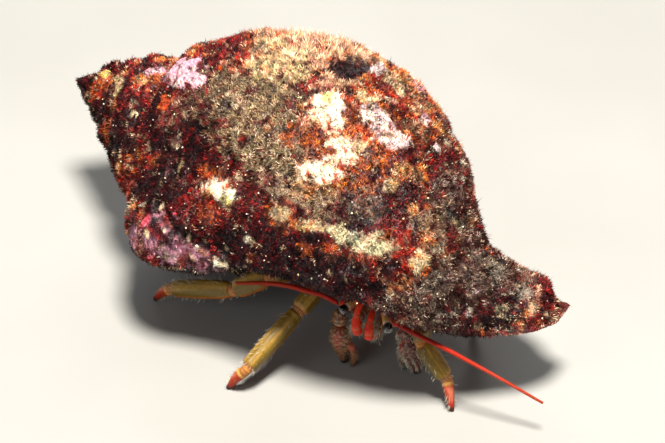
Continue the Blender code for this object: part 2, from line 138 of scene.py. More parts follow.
# What grows on the shell, laid on in this order, row by row:
# (turn, height, mm along the whorl, mm along the axis, tone, strength, turf, and any tilt in degrees)
GROWTHS = (
    # broad areas
    (-62, 0.46, 8.5, 7.0, "maroon", 1.0, 1.0), (-67, 0.455, 5.5, 5.5, "olive", 1.0, 1.0),
    (-52, 0.535, 5.0, 5.5, "olive", 1.0, 1.0), (-38, 0.40, 3.0, 3.2, "dark", 0.6, 0.8),
    (-110, 0.36, 5.0, 4.0, "maroon", 0.7, 1.0), (-112, 0.52, 6.2, 6.7, "orange_red", 0.9, 1.0),
    (-112, 0.52, 6.0, 6.5, "salmon", 0.95, 1.2), (-72, 0.70, 6.5, 5.0, "orange_brown", 0.9, 0.8),
    (-62, 0.92, 16.5, 5.2, "maroon", 1.0, 1.0), (-62, 0.92, 16.0, 5.0, "grey_brown", 0.95, 1.0),
    (-62, 0.655, 4.2, 3.2, "orange_brown", 0.85, 0.7), (-26, 0.50, 4.5, 8.5, "maroon", 0.95, 0.8),
    (-8, 0.66, 4.0, 8.0, "dark", 1.0, 0.8), (-10, 0.84, 5.5, 4.5, "grey_brown", 0.9, 1.0),
    (-6, 0.765, 1.2, 2.0, "dark", 0.8, 0.7), (-22, 1.00, 5.0, 2.0, "rust", 0.9, 1.0),
    (-30, 0.35, 5.0, 3.2, "dark", 0.9, 0.6), (-40, 0.36, 7.0, 3.5, "dark", 0.3, 0.8),
    # spire
    (-1130, 0.36, 1.8, 1.8, "orange_red", 0.9, 0.5), (-779, 0.345, 1.6, 0.7, "yellow", 0.9, 0.6, 20),
    (-1070, 0.34, 1.6, 2.6, "black", 0.9, 0.5), (-1300, 0.33, 1.6, 1.6, "dark", 1.0, 0.6),
    (-1160, 0.383, 0.7, 0.5, "yellow_green", 0.8, 0.5), (-410, 0.274, 1.6, 1.6, "maroon", 0.9, 0.5),
    (-760, 0.250, 0.7, 0.8, "red", 0.9, 0.3), (-359, 0.371, 1.0, 1.1, "red", 0.9, 0.3),
    (-396, 0.317, 0.6, 0.9, "beige", 0.8, 0.6), (-369, 0.334, 1.2, 0.7, "orange", 0.8, 0.5),
    (-384, 0.303, 2.4, 2.4, "dark", 0.95, 0.5), (-372, 0.30, 1.5, 1.8, "black", 0.7, 0.5),
    (-751, 0.31, 1.6, 1.6, "dark", 0.8, 0.5), (-20, 0.325, 2.0, 1.8, "dark", 0.8, 0.6),
    (-35, 0.335, 1.8, 2.0, "dark", 0.6, 0.6),
    # upper left
    (-52, 0.312, 1.8, 1.7, "rust", 0.8, 0.4), (-55, 0.29, 0.9, 1.1, "orange_red", 0.8, 0.3),
    (-86, 0.349, 1.6, 1.5, "maroon", 0.9, 1.0), (-78, 0.272, 1.9, 2.0, "pink", 1.0, 0.0),
    (-76, 0.302, 1.5, 1.9, "pink", 1.0, 0.0), (-80, 0.285, 1.4, 1.6, "pink", 1.0, 0.0),
    (-84, 0.260, 1.3, 1.3, "pink", 1.0, 0.0), (-443, 0.345, 0.9, 1.3, "pink", 0.9, 0.0),
    (-71, 0.330, 1.1, 1.7, "pink", 1.0, 0.0, -15), (-67, 0.30, 0.5, 0.9, "lilac", 0.9, 0.0),
    (-42, 0.356, 0.6, 0.7, "beige", 0.9, 0.6),
    # top
    (-87, 0.490, 2.8, 3.2, "yellow", 0.75, 1.05), (-86, 0.455, 1.0, 1.2, "cream", 0.7, 1.0),
    (-100, 0.43, 2.4, 2.4, "cream", 0.5, 1.0), (-70, 0.568, 0.6, 0.6, "orange", 0.8, 0.6),
    (-122, 0.60, 1.2, 2.0, "orange", 0.7, 0.6), (-121, 0.71, 3.8, 3.0, "orange_brown", 0.75, 0.7),
    (-119, 0.715, 2.2, 2.6, "orange", 0.45, 0.7), (-126, 0.74, 1.4, 1.2, "pink", 0.6, 0.5),
    (-116, 0.76, 0.9, 0.9, "olive", 0.8, 0.9), (-108, 0.70, 2.0, 2.0, "olive", 0.9, 0.8),
    (-112, 0.69, 0.6, 0.6, "yellow", 0.8, 0.7), (-104, 0.722, 0.5, 0.6, "cream", 0.8, 0.6),
    (-106, 0.648, 1.3, 1.1, "lilac", 1.0, 0.3), (-104, 0.70, 0.5, 0.8, "cream", 0.9, 0.5),
    (-109, 0.735, 0.5, 0.6, "cream", 0.9, 0.5), (-107, 0.75, 1.4, 1.2, "rust", 0.7, 0.7),
    (-103.5, 0.783, 1.2, 0.6, "lilac", 0.95, 0.3),
    # centre right
    (-86, 0.600, 2.4, 1.9, "salmon", 0.85, 0.9), (-88, 0.635, 1.4, 1.6, "olive", 0.8, 0.8),
    (-72, 0.618, 2.1, 2.1, "rust", 0.8, 0.7), (-69, 0.632, 1.5, 1.7, "orange", 0.8, 0.6),
    (-74, 0.615, 1.7, 1.7, "white", 1.0, 0.25), (-77, 0.609, 0.6, 0.6, "yellow_green", 0.8, 0.2),
    (-62, 0.685, 2.2, 1.6, "orange_red", 0.8, 0.6), (-44, 0.648, 1.8, 2.4, "orange", 0.9, 0.9),
    (-46, 0.645, 1.5, 1.9, "white", 1.0, 0.25), (-67, 0.640, 1.2, 1.4, "white", 0.95, 0.25),
    (-60, 0.662, 1.6, 1.5, "white", 0.95, 0.25), (-53, 0.668, 1.4, 1.4, "white", 0.9, 0.3),
    (-66, 0.645, 0.40, 0.50, "red", 1.0, 0.3), (-60, 0.676, 0.40, 0.40, "red", 1.0, 0.4),
    (-56, 0.655, 0.35, 0.60, "orange_red", 1.0, 0.4), (-52, 0.685, 0.30, 0.60, "red", 0.9, 0.4),
    (-63, 0.655, 0.30, 0.40, "orange_red", 0.9, 0.4), (-57, 0.690, 0.8, 1.1, "white", 0.9, 0.3),
    (-65, 0.700, 0.8, 0.8, "cream", 0.8, 0.4), (-53, 0.700, 0.5, 1.0, "orange_red", 0.9, 0.6),
    (-40, 0.662, 0.7, 2.2, "orange", 0.9, 0.8), (-87, 0.675, 0.7, 1.0, "cream", 0.9, 0.6),
    (-95, 0.711, 0.6, 0.7, "white", 0.9, 0.6), (-82, 0.673, 0.4, 0.5, "dark", 0.9, 0.5),
    (-81, 0.702, 1.2, 1.6, "lilac", 0.95, 0.25), (-79, 0.728, 1.2, 1.5, "lilac", 0.9, 0.3),
    (-77, 0.757, 1.1, 1.3, "lilac", 0.95, 0.25), (-77, 0.728, 0.5, 0.9, "rust", 0.8, 0.5),
    (-98, 0.745, 0.5, 0.8, "red", 0.9, 0.5), (-106, 0.785, 0.7, 0.7, "pink", 0.9, 0.4),
    (-90, 0.777, 1.0, 1.4, "olive", 0.9, 1.0), (-122, 0.83, 0.6, 0.8, "teal", 0.9, 0.9),
    (-98, 0.850, 1.6, 1.2, "maroon", 0.9, 0.8), (-76, 0.860, 3.2, 1.7, "grey_brown", 0.95, 1.0),
    (-60, 0.850, 2.4, 1.4, "olive", 0.8, 1.0), (-68, 0.868, 0.8, 0.9, "ash", 0.7, 0.9),
    (-60, 0.868, 0.7, 0.7, "black", 0.7, 0.5), (-94, 0.821, 0.45, 0.5, "lilac", 1.0, 0.1),
    (-66, 0.777, 1.1, 0.7, "orange", 0.9, 0.7), (-70, 0.809, 0.9, 0.9, "orange", 0.8, 0.7),
    (-65, 0.821, 0.8, 0.7, "red", 0.9, 0.6), (-55, 0.819, 0.7, 0.6, "orange", 0.9, 0.6),
    (-57, 0.772, 0.8, 0.6, "cream", 0.8, 0.6), (-47, 0.819, 0.5, 0.6, "lilac", 0.9, 0.3),
    (-41, 0.819, 1.1, 0.8, "red", 0.9, 0.5), (-33, 0.84, 0.9, 0.8, "cream", 0.95, 0.4, 25),
    # right flank and canal
    (-55, 0.875, 3.0, 2.6, "beige", 0.45, 1.0), (-69, 0.881, 0.9, 0.9, "teal", 0.8, 0.9),
    (-93, 0.902, 3.0, 0.8, "rust", 0.9, 0.7), (-76, 0.911, 0.9, 0.5, "orange", 0.8, 0.6),
    (-30, 0.90, 3.5, 2.5, "grey_brown", 0.7, 1.0), (-44, 0.925, 1.6, 2.0, "ash", 0.6, 1.0),
    (-24, 0.86, 1.8, 1.6, "ash", 0.5, 1.0), (-75, 0.875, 4.5, 2.6, "dark", 0.4, 1.0),
    (-35, 0.920, 8.0, 3.5, "dark", 0.4, 1.0), (-60, 0.951, 0.9, 0.9, "dark", 0.9, 0.6),
    (-64, 0.935, 0.5, 0.5, "orange_brown", 0.9, 0.5), (-28, 0.985, 1.0, 1.3, "rust", 0.9, 0.7),
    (-60, 0.972, 2.4, 1.9, "grey_brown", 0.95, 1.0), (-50, 0.995, 2.6, 1.3, "maroon", 0.9, 1.0),
    (-61, 0.950, 0.9, 1.0, "black", 0.9, 0.4), (-60, 0.941, 0.5, 0.5, "pale_green", 0.8, 0.6),
    (-50, 0.948, 0.8, 0.9, "ash", 0.9, 0.8), (-40, 0.975, 0.8, 1.2, "ash", 0.8, 0.8),
    (-22, 0.955, 0.5, 1.0, "pale_green", 0.6, 0.7), (-11, 0.935, 0.7, 3.0, "black", 0.9, 0.5),
    (-1, 0.955, 0.5, 3.2, "salmon", 0.8, 0.3),
    # middle
    (-38, 0.587, 1.6, 2.2, "beige", 0.7, 0.9), (-34, 0.677, 1.2, 1.6, "beige", 0.7, 0.8),
    (-36, 0.695, 1.5, 2.6, "olive", 0.75, 0.8), (-41, 0.745, 1.2, 2.0, "teal", 0.5, 0.9),
    (-34, 0.704, 0.8, 0.7, "maroon", 0.8, 0.7), (-33, 0.468, 2.0, 2.6, "rust", 0.8, 0.6),
    (-31, 0.468, 1.5, 1.9, "orange_red", 0.7, 0.6), (-27, 0.470, 0.8, 1.5, "red", 0.8, 0.6),
    (-34, 0.455, 0.9, 1.2, "white", 1.0, 0.15, 10), (-32, 0.482, 1.1, 1.3, "white", 1.0, 0.15),
    (-29, 0.492, 0.4, 0.6, "yellow_green", 0.9, 0.3), (-30, 0.452, 0.5, 0.5, "orange", 0.9, 0.4),
    (-37, 0.436, 0.8, 1.4, "orange_red", 0.8, 0.6), (-23, 0.464, 0.9, 1.1, "orange_brown", 0.9, 0.6),
    (-35, 0.377, 0.7, 0.4, "cream", 0.9, 0.4), (-25, 0.605, 1.3, 1.6, "orange_brown", 0.8, 0.6),
    (-27, 0.602, 0.7, 1.0, "cream", 0.8, 0.5), (-24, 0.640, 0.7, 1.0, "orange", 0.8, 0.5),
    (-26, 0.662, 0.5, 1.1, "cream", 0.7, 0.5), (-16, 0.66, 0.8, 1.1, "orange_brown", 0.8, 0.5),
    (-27, 0.69, 0.3, 1.6, "cream", 0.8, 0.5, 12), (-27, 0.71, 0.8, 0.9, "pale_green", 0.9, 0.4),
    (-26, 0.76, 1.2, 2.0, "pale_green", 0.95, 0.4), (-29, 0.742, 0.5, 0.7, "teal", 0.6, 0.6),
    (-21, 0.75, 0.5, 2.4, "red", 0.8, 0.6), (-20, 0.69, 0.5, 1.3, "orange_red", 0.8, 0.6),
    (-17, 0.707, 0.6, 0.8, "salmon", 0.8, 0.5),
    # lower left
    (-9, 0.268, 1.4, 1.4, "red", 0.7, 0.5), (-10, 0.309, 1.2, 0.9, "beige", 0.7, 0.8),
    (-17, 0.345, 0.4, 0.5, "white", 0.8, 0.5), (-8, 0.350, 2.2, 1.9, "mauve", 1.0, 0.05),
    (-12, 0.405, 2.9, 2.4, "mauve", 1.0, 0.0), (-5, 0.465, 2.2, 4.2, "mauve", 1.0, 0.05),
    (-10, 0.340, 0.6, 0.8, "dark", 0.8, 0.4), (-5, 0.372, 0.6, 0.9, "rust", 0.8, 0.3),
    (-7, 0.452, 0.6, 1.2, "rust", 0.8, 0.3), (-4, 0.515, 0.7, 1.0, "dark", 0.8, 0.4),
    (0, 0.37, 0.8, 2.2, "dark", 0.9, 0.3), (-1, 0.43, 0.6, 4.5, "black", 0.9, 0.3),
    (-1, 0.53, 0.6, 4.5, "black", 0.8, 0.4), (-8, 0.43, 0.7, 0.9, "pink", 0.6, 0.0),
    (-13, 0.395, 0.5, 0.9, "maroon", 0.8, 0.2), (-15, 0.368, 1.0, 0.5, "pink_red", 1.0, 0.0),
    (-11, 0.383, 0.45, 0.5, "yellow_green", 1.0, 0.1), (-14, 0.451, 0.35, 0.5, "white", 0.9, 0.3),
    (-14, 0.549, 0.35, 0.4, "white", 0.9, 0.3), (-5, 0.502, 0.35, 0.7, "white", 1.0, 0.2),
)
DEEPEST = np.array((0.62, 0.40, 0.40))  # what is left of the darkest tones
# The furrow between the lip's hind corner and the whorl, sunk in the relief and painted black as shade: (turn,
# height) along it
FURROW = ((-21, 0.380), (-18.5, 0.400), (-16, 0.420), (-12, 0.470), (-8.5, 0.534))
PIT = (-101, 0.611, 2.6, 2.0)  # a hollow in the crown, its darkness painted shade: turn, height, mm along, mm across


def furrow_spots():
    return [np.add(a, np.subtract(b, a) * share) for a, b in zip(FURROW, FURROW[1:]) for share in (0, 0.5)]


# ---------------------------------------------------------------- small tools
def curve_through(points, at):
    """Smooth curve through (x, y) points with no overshoot, at each x in `at`."""
    x, y = np.array(points, float).T
    h, d = np.diff(x), np.diff(y) / np.diff(x)
    slope = np.zeros(len(x))
    slope[0], slope[-1] = d[0], d[-1]
    same = d[:-1] * d[1:] > 0
    w1, w2 = 2 * h[1:] + h[:-1], h[1:] + 2 * h[:-1]
    safe = np.where(same, d[:-1], 1), np.where(same, d[1:], 1)
    slope[1:-1] = np.where(same, (w1 + w2) / (w1 / safe[0] + w2 / safe[1]), 0)
    at = np.clip(np.asarray(at, float), x[0], x[-1])
    i = np.clip(np.searchsorted(x, at, side="right") - 1, 0, len(h) - 1)
    t = (at - x[i]) / h[i]
    return (
        y[i] * (1 + 2 * t) * (1 - t) ** 2 + slope[i] * h[i] * t * (1 - t) ** 2
        + y[i + 1] * t * t * (3 - 2 * t) + slope[i + 1] * h[i] * t * t * (t - 1)
    )


def hump(x, middle, wide):
    return np.exp(-(((x - middle) / wide) ** 2))


def smooth(low, high, x):
    t = np.clip((x - low) / (high - low), 0, 1)
    return t * t * (3 - 2 * t)


def mix(a, b, share):
    """a to b by share, for colours against one share each."""
    share = np.asarray(share, float)[:, None]
    return np.asarray(a) * (1 - share) + np.asarray(b) * share


def layered(tone, *layers):
    """A tone under layers of (tone, share), one over another."""
    for over, share in layers:
        tone = mix(tone, over, share)
    return tone


def unit(v):
    return v / np.maximum(np.linalg.norm(v, axis=-1, keepdims=True), 1e-12)


LATTICE = 32
LATTICES = [np.random.default_rng(seed).uniform(-1, 1, (LATTICE,) * 3) for seed in range(6)]


def noise(points, size, seed=0):
    """Smooth noise from -1 to 1 with features of about `size` metres."""
    table = LATTICES[seed % len(LATTICES)]
    q = points / size + 7.31 * (seed + 1)
    cell = np.floor(q).astype(int)
    f = q - cell
    f = f * f * (3 - 2 * f)
    total = 0
    for corner in range(8):
        bits = np.array([corner & 1, corner >> 1 & 1, corner >> 2 & 1])
        x, y, z = ((cell + bits) % LATTICE).T
        total = total + table[x, y, z] * np.prod(np.where(bits, f, 1 - f), axis=1)
    return total


def rough_noise(points, size, seed=0, octaves=3):
    """Noise of several sizes, each half the one before."""
    total = sum(noise(points, size / 2**k, seed + k) / 2**k for k in range(octaves))
    return total / 1.3


def add_mesh(name, points, faces, tones=None, uv=None, flat=False):
    """A mesh object from arrays. `tones` are colours of the points, `uv` places of the faces' corners."""
    mesh = bpy.data.meshes.new(name)
    points = np.asarray(points, np.float32)
    if isinstance(faces, np.ndarray):
        sides = faces.shape[1]
        mesh.vertices.add(len(points))
        mesh.vertices.foreach_set("co", points.ravel())
        mesh.loops.add(faces.size)
        mesh.loops.foreach_set("vertex_index", faces.astype(np.int32).ravel())
        mesh.polygons.add(len(faces))
        mesh.polygons.foreach_set("loop_start", np.arange(len(faces), dtype=np.int32) * sides)
        mesh.update(calc_edges=True)
    else:
        mesh.from_pydata(points.tolist(), [], faces)
    if tones is not None:
        set_tones(mesh, tones)
    if uv is not None:
        layer = mesh.uv_layers.new(name="OFBake")
        layer.data.foreach_set("uv", np.asarray(uv, np.float32).ravel())
    mesh.polygons.foreach_set("use_smooth", np.full(len(mesh.polygons), not flat))
    mesh.validate()
    thing = bpy.data.objects.new(name, mesh)
    bpy.context.scene.collection.objects.link(thing)
    return thing


def set_tones(mesh, tones):
    tones = np.clip(np.asarray(tones, np.float32), 0, 1)
    layer = mesh.color_attributes.new("tone", "FLOAT_COLOR", "POINT")
    layer.data.foreach_set("color", np.concatenate([tones, np.ones((len(tones), 1), np.float32)], 1).ravel())


def face_outwards(mesh):
    built = bmesh.new()
    built.from_mesh(mesh)
    bmesh.ops.recalc_face_normals(built, faces=built.faces)
    if built.calc_volume(signed=True) < 0:
        bmesh.ops.reverse_faces(built, faces=built.faces)
    built.to_mesh(mesh)
    built.free()


def place(thing, slot, material, *nodes):
    """Gives a piece its material, and stands it in for its CAD nodes. The slot is not used."""
    thing.data.materials.clear()
    thing.data.materials.append(material)
    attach(thing, "root")
    if nodes:
        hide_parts(*nodes)
    return thing


# ---------------------------------------------------------------- materials
class Nodes:
    """A material's node tree, filled in a few words."""

    def __init__(self, name):
        self.material = bpy.data.materials.new(name)
        self.material.use_nodes = True
        self.tree = self.material.node_tree
        self.shader = self.tree.nodes["Principled BSDF"]

    def give(self, node, **inputs):
        """Links or sets a node's inputs, named with _ for each space."""
        for key, value in inputs.items():
            self.put(value, node.inputs[key.replace("_", " ")])
        return node

    def put(self, value, socket):
        if isinstance(value, bpy.types.NodeSocket):
            self.tree.links.new(value, socket)
        else:
            socket.default_value = value

    def add(self, kind, **inputs):
        return self.give(self.tree.nodes.new(kind), **inputs)

    def tone(self):
        node = self.add("ShaderNodeAttribute")
        node.attribute_name = "tone"
        return node.outputs["Color"]

    def place(self):
        return self.add("ShaderNodeTexCoord").outputs["Object"]

    def noise(self, size, detail=3.0):
        node = self.add("ShaderNodeTexNoise", Vector=self.place(), Scale=1 / size, Detail=detail, Roughness=0.6)
        return node.outputs["Fac"]

    def cells(self, size):
        return self.add("ShaderNodeTexVoronoi", Vector=self.place(), Scale=1 / size).outputs["Distance"]

    def between(self, value, low, high, to_low, to_high):
        node = self.add(
            "ShaderNodeMapRange", Value=value, From_Min=low, From_Max=high, To_Min=to_low, To_Max=to_high)
        node.interpolation_type = "SMOOTHSTEP"
        return node.outputs["Result"]

    def blend(self, kind, share, first, second):
        """Colours given as three numbers are taken as opaque."""
        node = self.add("ShaderNodeMix")
        node.data_type, node.blend_type = "RGBA", kind
        for index, value in ((0, share), (6, first), (7, second)):
            self.put((*value, 1) if isinstance(value, tuple) else value, node.inputs[index])
        return node.outputs[2]

    def mottled(self, share, dark, light):
        """The painted tone times a mottle."""
        return self.blend("MULTIPLY", 1.0, self.tone(), self.blend("MIX", share, dark, light))

    def bump(self, height, distance, strength, **after):
        node = self.add("ShaderNodeBump", Height=height, Distance=distance, Strength=strength, **after)
        return node.outputs["Normal"]

    def finish(self, tone, roughness, **inputs):
        self.give(self.shader, Base_Color=tone, Roughness=roughness, **inputs)
        return self.material


def grown_material():
    """Shell under its turf: the painted tone, with painted shade in its pits and lighter on grains, gritty and
    wet.
    """
    m = Nodes("shell_growth")
    grain, pits = m.noise(0.22 * MM, 4.0), m.cells(0.38 * MM)
    tone = m.mottled(m.between(grain, 0.35, 0.65, 0, 1), (0.55, 0.48, 0.46), (1.2, 1.2, 1.16))
    return m.finish(
        # painted shade: the tone is darkened in the pits, the same hollows the bump sinks
        m.blend("MULTIPLY", m.between(pits, 0.0, 0.25, 0.7, 0.0), tone, (0.45, 0.35, 0.33)),
        m.between(grain, 0.3, 0.7, 0.62, 0.30), Specular_IOR_Level=0.3,
        Normal=m.bump(pits, 0.14 * MM, 0.7, Normal=m.bump(grain, 0.10 * MM, 0.9)))


def turf_material():
    m = Nodes("turf")
    grain = m.noise(0.2 * MM, 2.0)
    tone = m.mottled(grain, (0.75, 0.75, 0.75), (1.2, 1.2, 1.2))
    return m.finish(tone, m.between(grain, 0.3, 0.7, 0.50, 0.28), Specular_IOR_Level=0.12)


# ---------------------------------------------------------------- the shell's shape
def profile(high):
    """Radius of the last whorl at the lip, by height, both in shell lengths."""
    seam = float(curve_through(PROFILE, SEAM)) / GROWTH
    first, wide = PROFILE[1]
    rise = np.clip((high - SEAM_UP) / (first - SEAM_UP), 0, 1) ** 0.8
    return np.where(high < first, seam + (wide - seam) * rise, curve_through(PROFILE, high))


def swell_at(turn, high):
    """Share of the radius by which the shell stands out or in."""
    return sum(share * hump(turn, at, wide) * hump(high, up, tall) for at, wide, up, tall, share in SWELLS)


def shell_point(turn, high):
    """Point of the shell's outside in the shell's own frame, z along its axis."""
    ramp = np.clip((turn + SKEW_RAMP) / SKEW_RAMP, 0, 1) ** 1.6
    rounded = 0.035 * np.clip((turn + LIP_ROUND) / LIP_ROUND, 0, 1) ** 2
    turn = turn + curve_through(LIP_SKEW, high) * ramp
    grown = GROWTH ** (turn / 360) * SHELL_LENGTH
    ease = np.clip((high - SEAM_UP) / 0.05, 0, 1)
    corner = CORNER * hump(turn, CORNER_AT, CORNER_WIDE) * hump(high, CORNER_HIGH, CORNER_TALL) * ease
    groove = GROOVE * hump(turn, GROOVE_AT, GROOVE_WIDE) * hump(high, CORNER_HIGH + 0.03, 0.1) * ease
    across_band = np.clip((high - SEAM_UP) / (SEAM - SEAM_UP), 0, 1)
    knob = KNOB * np.sin(math.pi * across_band) ** 2 * (0.5 + 0.5 * np.cos(np.radians(KNOBS * turn)))
    r = profile(high) * (1 + corner - groove + swell_at(turn, high) * ease + knob - rounded)
    a = np.radians(turn)
    reach = CANAL_REACH * smooth(CANAL_FROM, 1.0, high) * smooth(*CANAL_TURNS, turn)
    along = grown * (high - 0.12 * corner) + (SHELL_LENGTH - grown) * reach
    return np.stack([grown * r * np.cos(a), grown * r * np.sin(a), along], -1)


def frame_of_shell():
    """Columns: directions in the world of the shell's own x, y and z."""
    yaw, pitch, roll = (math.radians(v) for v in (YAW, PITCH, ROLL))
    axis = Vector((math.cos(pitch) * math.cos(yaw), -math.cos(pitch) * math.sin(yaw), -math.sin(pitch)))
    ahead = Vector((-math.sin(yaw), -math.cos(yaw), 0))
    ahead = (ahead - axis * ahead.dot(axis)).normalized()
    down = axis.cross(ahead)
    x = ahead * math.cos(roll) + down * math.sin(roll)
    return np.array([x, axis.cross(x), axis]).T


TO_WORLD = frame_of_shell()
APEX = np.array([-MIDDLE[0], -MIDDLE[1], APEX_UP])


def shell_to_world(points):
    return points @ TO_WORLD.T + APEX


def on_shell(turn, high):
    """World point and the directions along the whorl, along the axis and out of the shell."""
    def at(t, h):
        return shell_to_world(shell_point(np.array([float(t)]), np.array([float(h)])))[0]
    along = unit(at(turn + 0.5, high) - at(turn - 0.5, high))
    across = unit(at(turn, high + 0.004) - at(turn, high - 0.004))
    return at(turn, high), along, across, unit(np.cross(across, along))


def zipper(left, right, key):
    """Triangles between two chains that share their first and last points."""
    faces, i, j = [(left[0], left[1], right[1])], 1, 1
    while i < len(left) - 2 or j < len(right) - 2:
        step_left = j >= len(right) - 2 or (i < len(left) - 2 and key[left[i + 1]] <= key[right[j + 1]])
        if step_left:
            faces.append((left[i], left[i + 1], right[j]))
            i += 1
        else:
            faces.append((left[i], right[j + 1], right[j]))
            j += 1
    faces.append((left[i], left[-1], right[j]))
    return faces


def whole_shell():
    """The shell filled in to its axis: points, their (turn, height), and faces, the outside ones first."""
    early = np.linspace(SEAM_UP, SEAM, EARLY)
    late = np.linspace(SEAM, 1.0, LATE + 1)[1:]
    rows, last = STEPS * TURNS, STEPS * (TURNS - 1)
    turns = (np.arange(rows + 1) / STEPS - TURNS) * 360
    ids = np.zeros((rows + 1, EARLY), int)
    own = np.ones(ids.shape, bool)
    own[STEPS:, 0] = False
    ids[own] = np.arange(own.sum())
    for i in range(STEPS, rows + 1):
        ids[i, 0] = ids[i - STEPS, -1]
    grid = np.stack(np.meshgrid(turns, early, indexing="ij"), -1)[own]
    late_grid = np.stack(np.meshgrid(turns[last:], late, indexing="ij"), -1).reshape(-1, 2)
    late_ids = len(grid) + np.arange(len(late_grid)).reshape(-1, LATE)
    names = np.concatenate([grid, late_grid])
    points = shell_point(names[:, 0], names[:, 1])
    axis_ids = len(points) + np.arange(STEPS + 1)
    axis_points = np.zeros((STEPS + 1, 3))
    axis_points[:, 2] = points[late_ids[:, -1], 2]
    tip = len(points) + STEPS + 1
    points = np.concatenate([points, axis_points, [[0, 0, 0.002 * SHELL_LENGTH]]])
    names = np.concatenate([names, np.stack([turns[last:], np.ones(STEPS + 1)], 1), [[-360 * TURNS, SEAM_UP]]])
    whole = np.concatenate([ids[last:], late_ids], 1)
    faces = []
    for block in (ids[: last + 1], whole):
        quads = np.stack([block[:-1, :-1], block[1:, :-1], block[1:, 1:], block[:-1, 1:]], -1)
        faces += quads.reshape(-1, 4).tolist()
    outside = len(faces)
    faces += [(whole[i, -1], whole[i + 1, -1], axis_ids[i + 1], axis_ids[i]) for i in range(STEPS)]
    outer = list(whole[-1]) + [axis_ids[-1]]
    inner = list(whole[0, EARLY - 1:]) + list(axis_ids)
    faces += zipper(outer, inner, points[:, 2])
    loop = list(ids[: STEPS + 1, 0]) + [ids[0, k] for k in range(EARLY - 2, 0, -1)]
    faces += [(a, b, tip) for a, b in zip(loop, loop[1:] + loop[:1])]
    return points, names, [tuple(int(v) for v in face) for face in faces], outside


def cavity():
    """The space the crab lives in, run out beyond the lip, flaring a little at it."""
    wall = WALL / SHELL_LENGTH
    heights = np.linspace(CAVITY_FROM, CAVITY_TO, CAVITY_ROWS)
    pillar = np.maximum(COLUMELLA, np.where(
        heights * GROWTH < 1, profile(np.minimum(heights * GROWTH, 1)) / GROWTH + wall, 0))
    points = []
    for turn in np.linspace(*CAVITY_TURNS, CAVITY_STEPS):
        flare = 0.4 * smooth(-10, 2, np.array(turn))
        thick = wall * (1 - flare) + DEEPER / SHELL_LENGTH * smooth(-2, -22, np.array(turn))
        outer = profile(heights) * (1 + np.minimum(swell_at(turn, heights), 0)) - thick
        inside = np.minimum(pillar, outer - 0.012)
        ring = np.concatenate([np.stack([outer, heights], 1), np.stack([inside, heights], 1)[::-1]])
        grown, a = GROWTH ** (turn / 360) * SHELL_LENGTH, math.radians(turn)
        points.append(np.stack([ring[:, 0] * math.cos(a), ring[:, 0] * math.sin(a), ring[:, 1]], 1) * grown)
    return np.concatenate(points), tube_faces(CAVITY_STEPS, 2 * CAVITY_ROWS)


# ---------------------------------------------------------------- what grows on it
EDGE_SIZES = (2.2, 1.0, 0.5, 0.28)  # mm, of the noises that fray the edge of a patch
FRAY = (0.6, 0.6, 0.45, 0.35)  # how much each of them counts
SMALL, FRAY_SMALL = 1.3, (0.1, 0.6, 0.6, 0.4)  # the same for patches narrower than so many mm


def edge_noises(points):
    return np.stack([noise(points, size * MM, k) for k, size in enumerate(EDGE_SIZES)], 1)


def spread(points, edges, turn, high, along_mm, across_mm, tilt=0.0, ragged=0.6):
    """How far each point is inside a ragged patch round a place on the shell: 1 at its middle, 0 outside."""
    centre, along, across, out = on_shell(turn, high)
    tilt = math.radians(tilt)
    first = along * math.cos(tilt) + across * math.sin(tilt)
    second = across * math.cos(tilt) - along * math.sin(tilt)
    way = points - centre
    largest = max(along_mm, across_mm)
    near = np.flatnonzero(np.abs(way).max(1) < 2.2 * largest * MM)
    way = way[near]
    reach = np.sqrt(
        (way @ first / (along_mm * MM)) ** 2 + (way @ second / (across_mm * MM)) ** 2
        + (way @ out / (1.4 * largest * MM)) ** 2
    )
    fray = edges[near] @ np.array(FRAY_SMALL if min(along_mm, across_mm) < SMALL else FRAY)
    share = np.zeros(len(points))
    share[near] = 1 - smooth(0.78, 1.12, reach + ragged * fray)
    return share


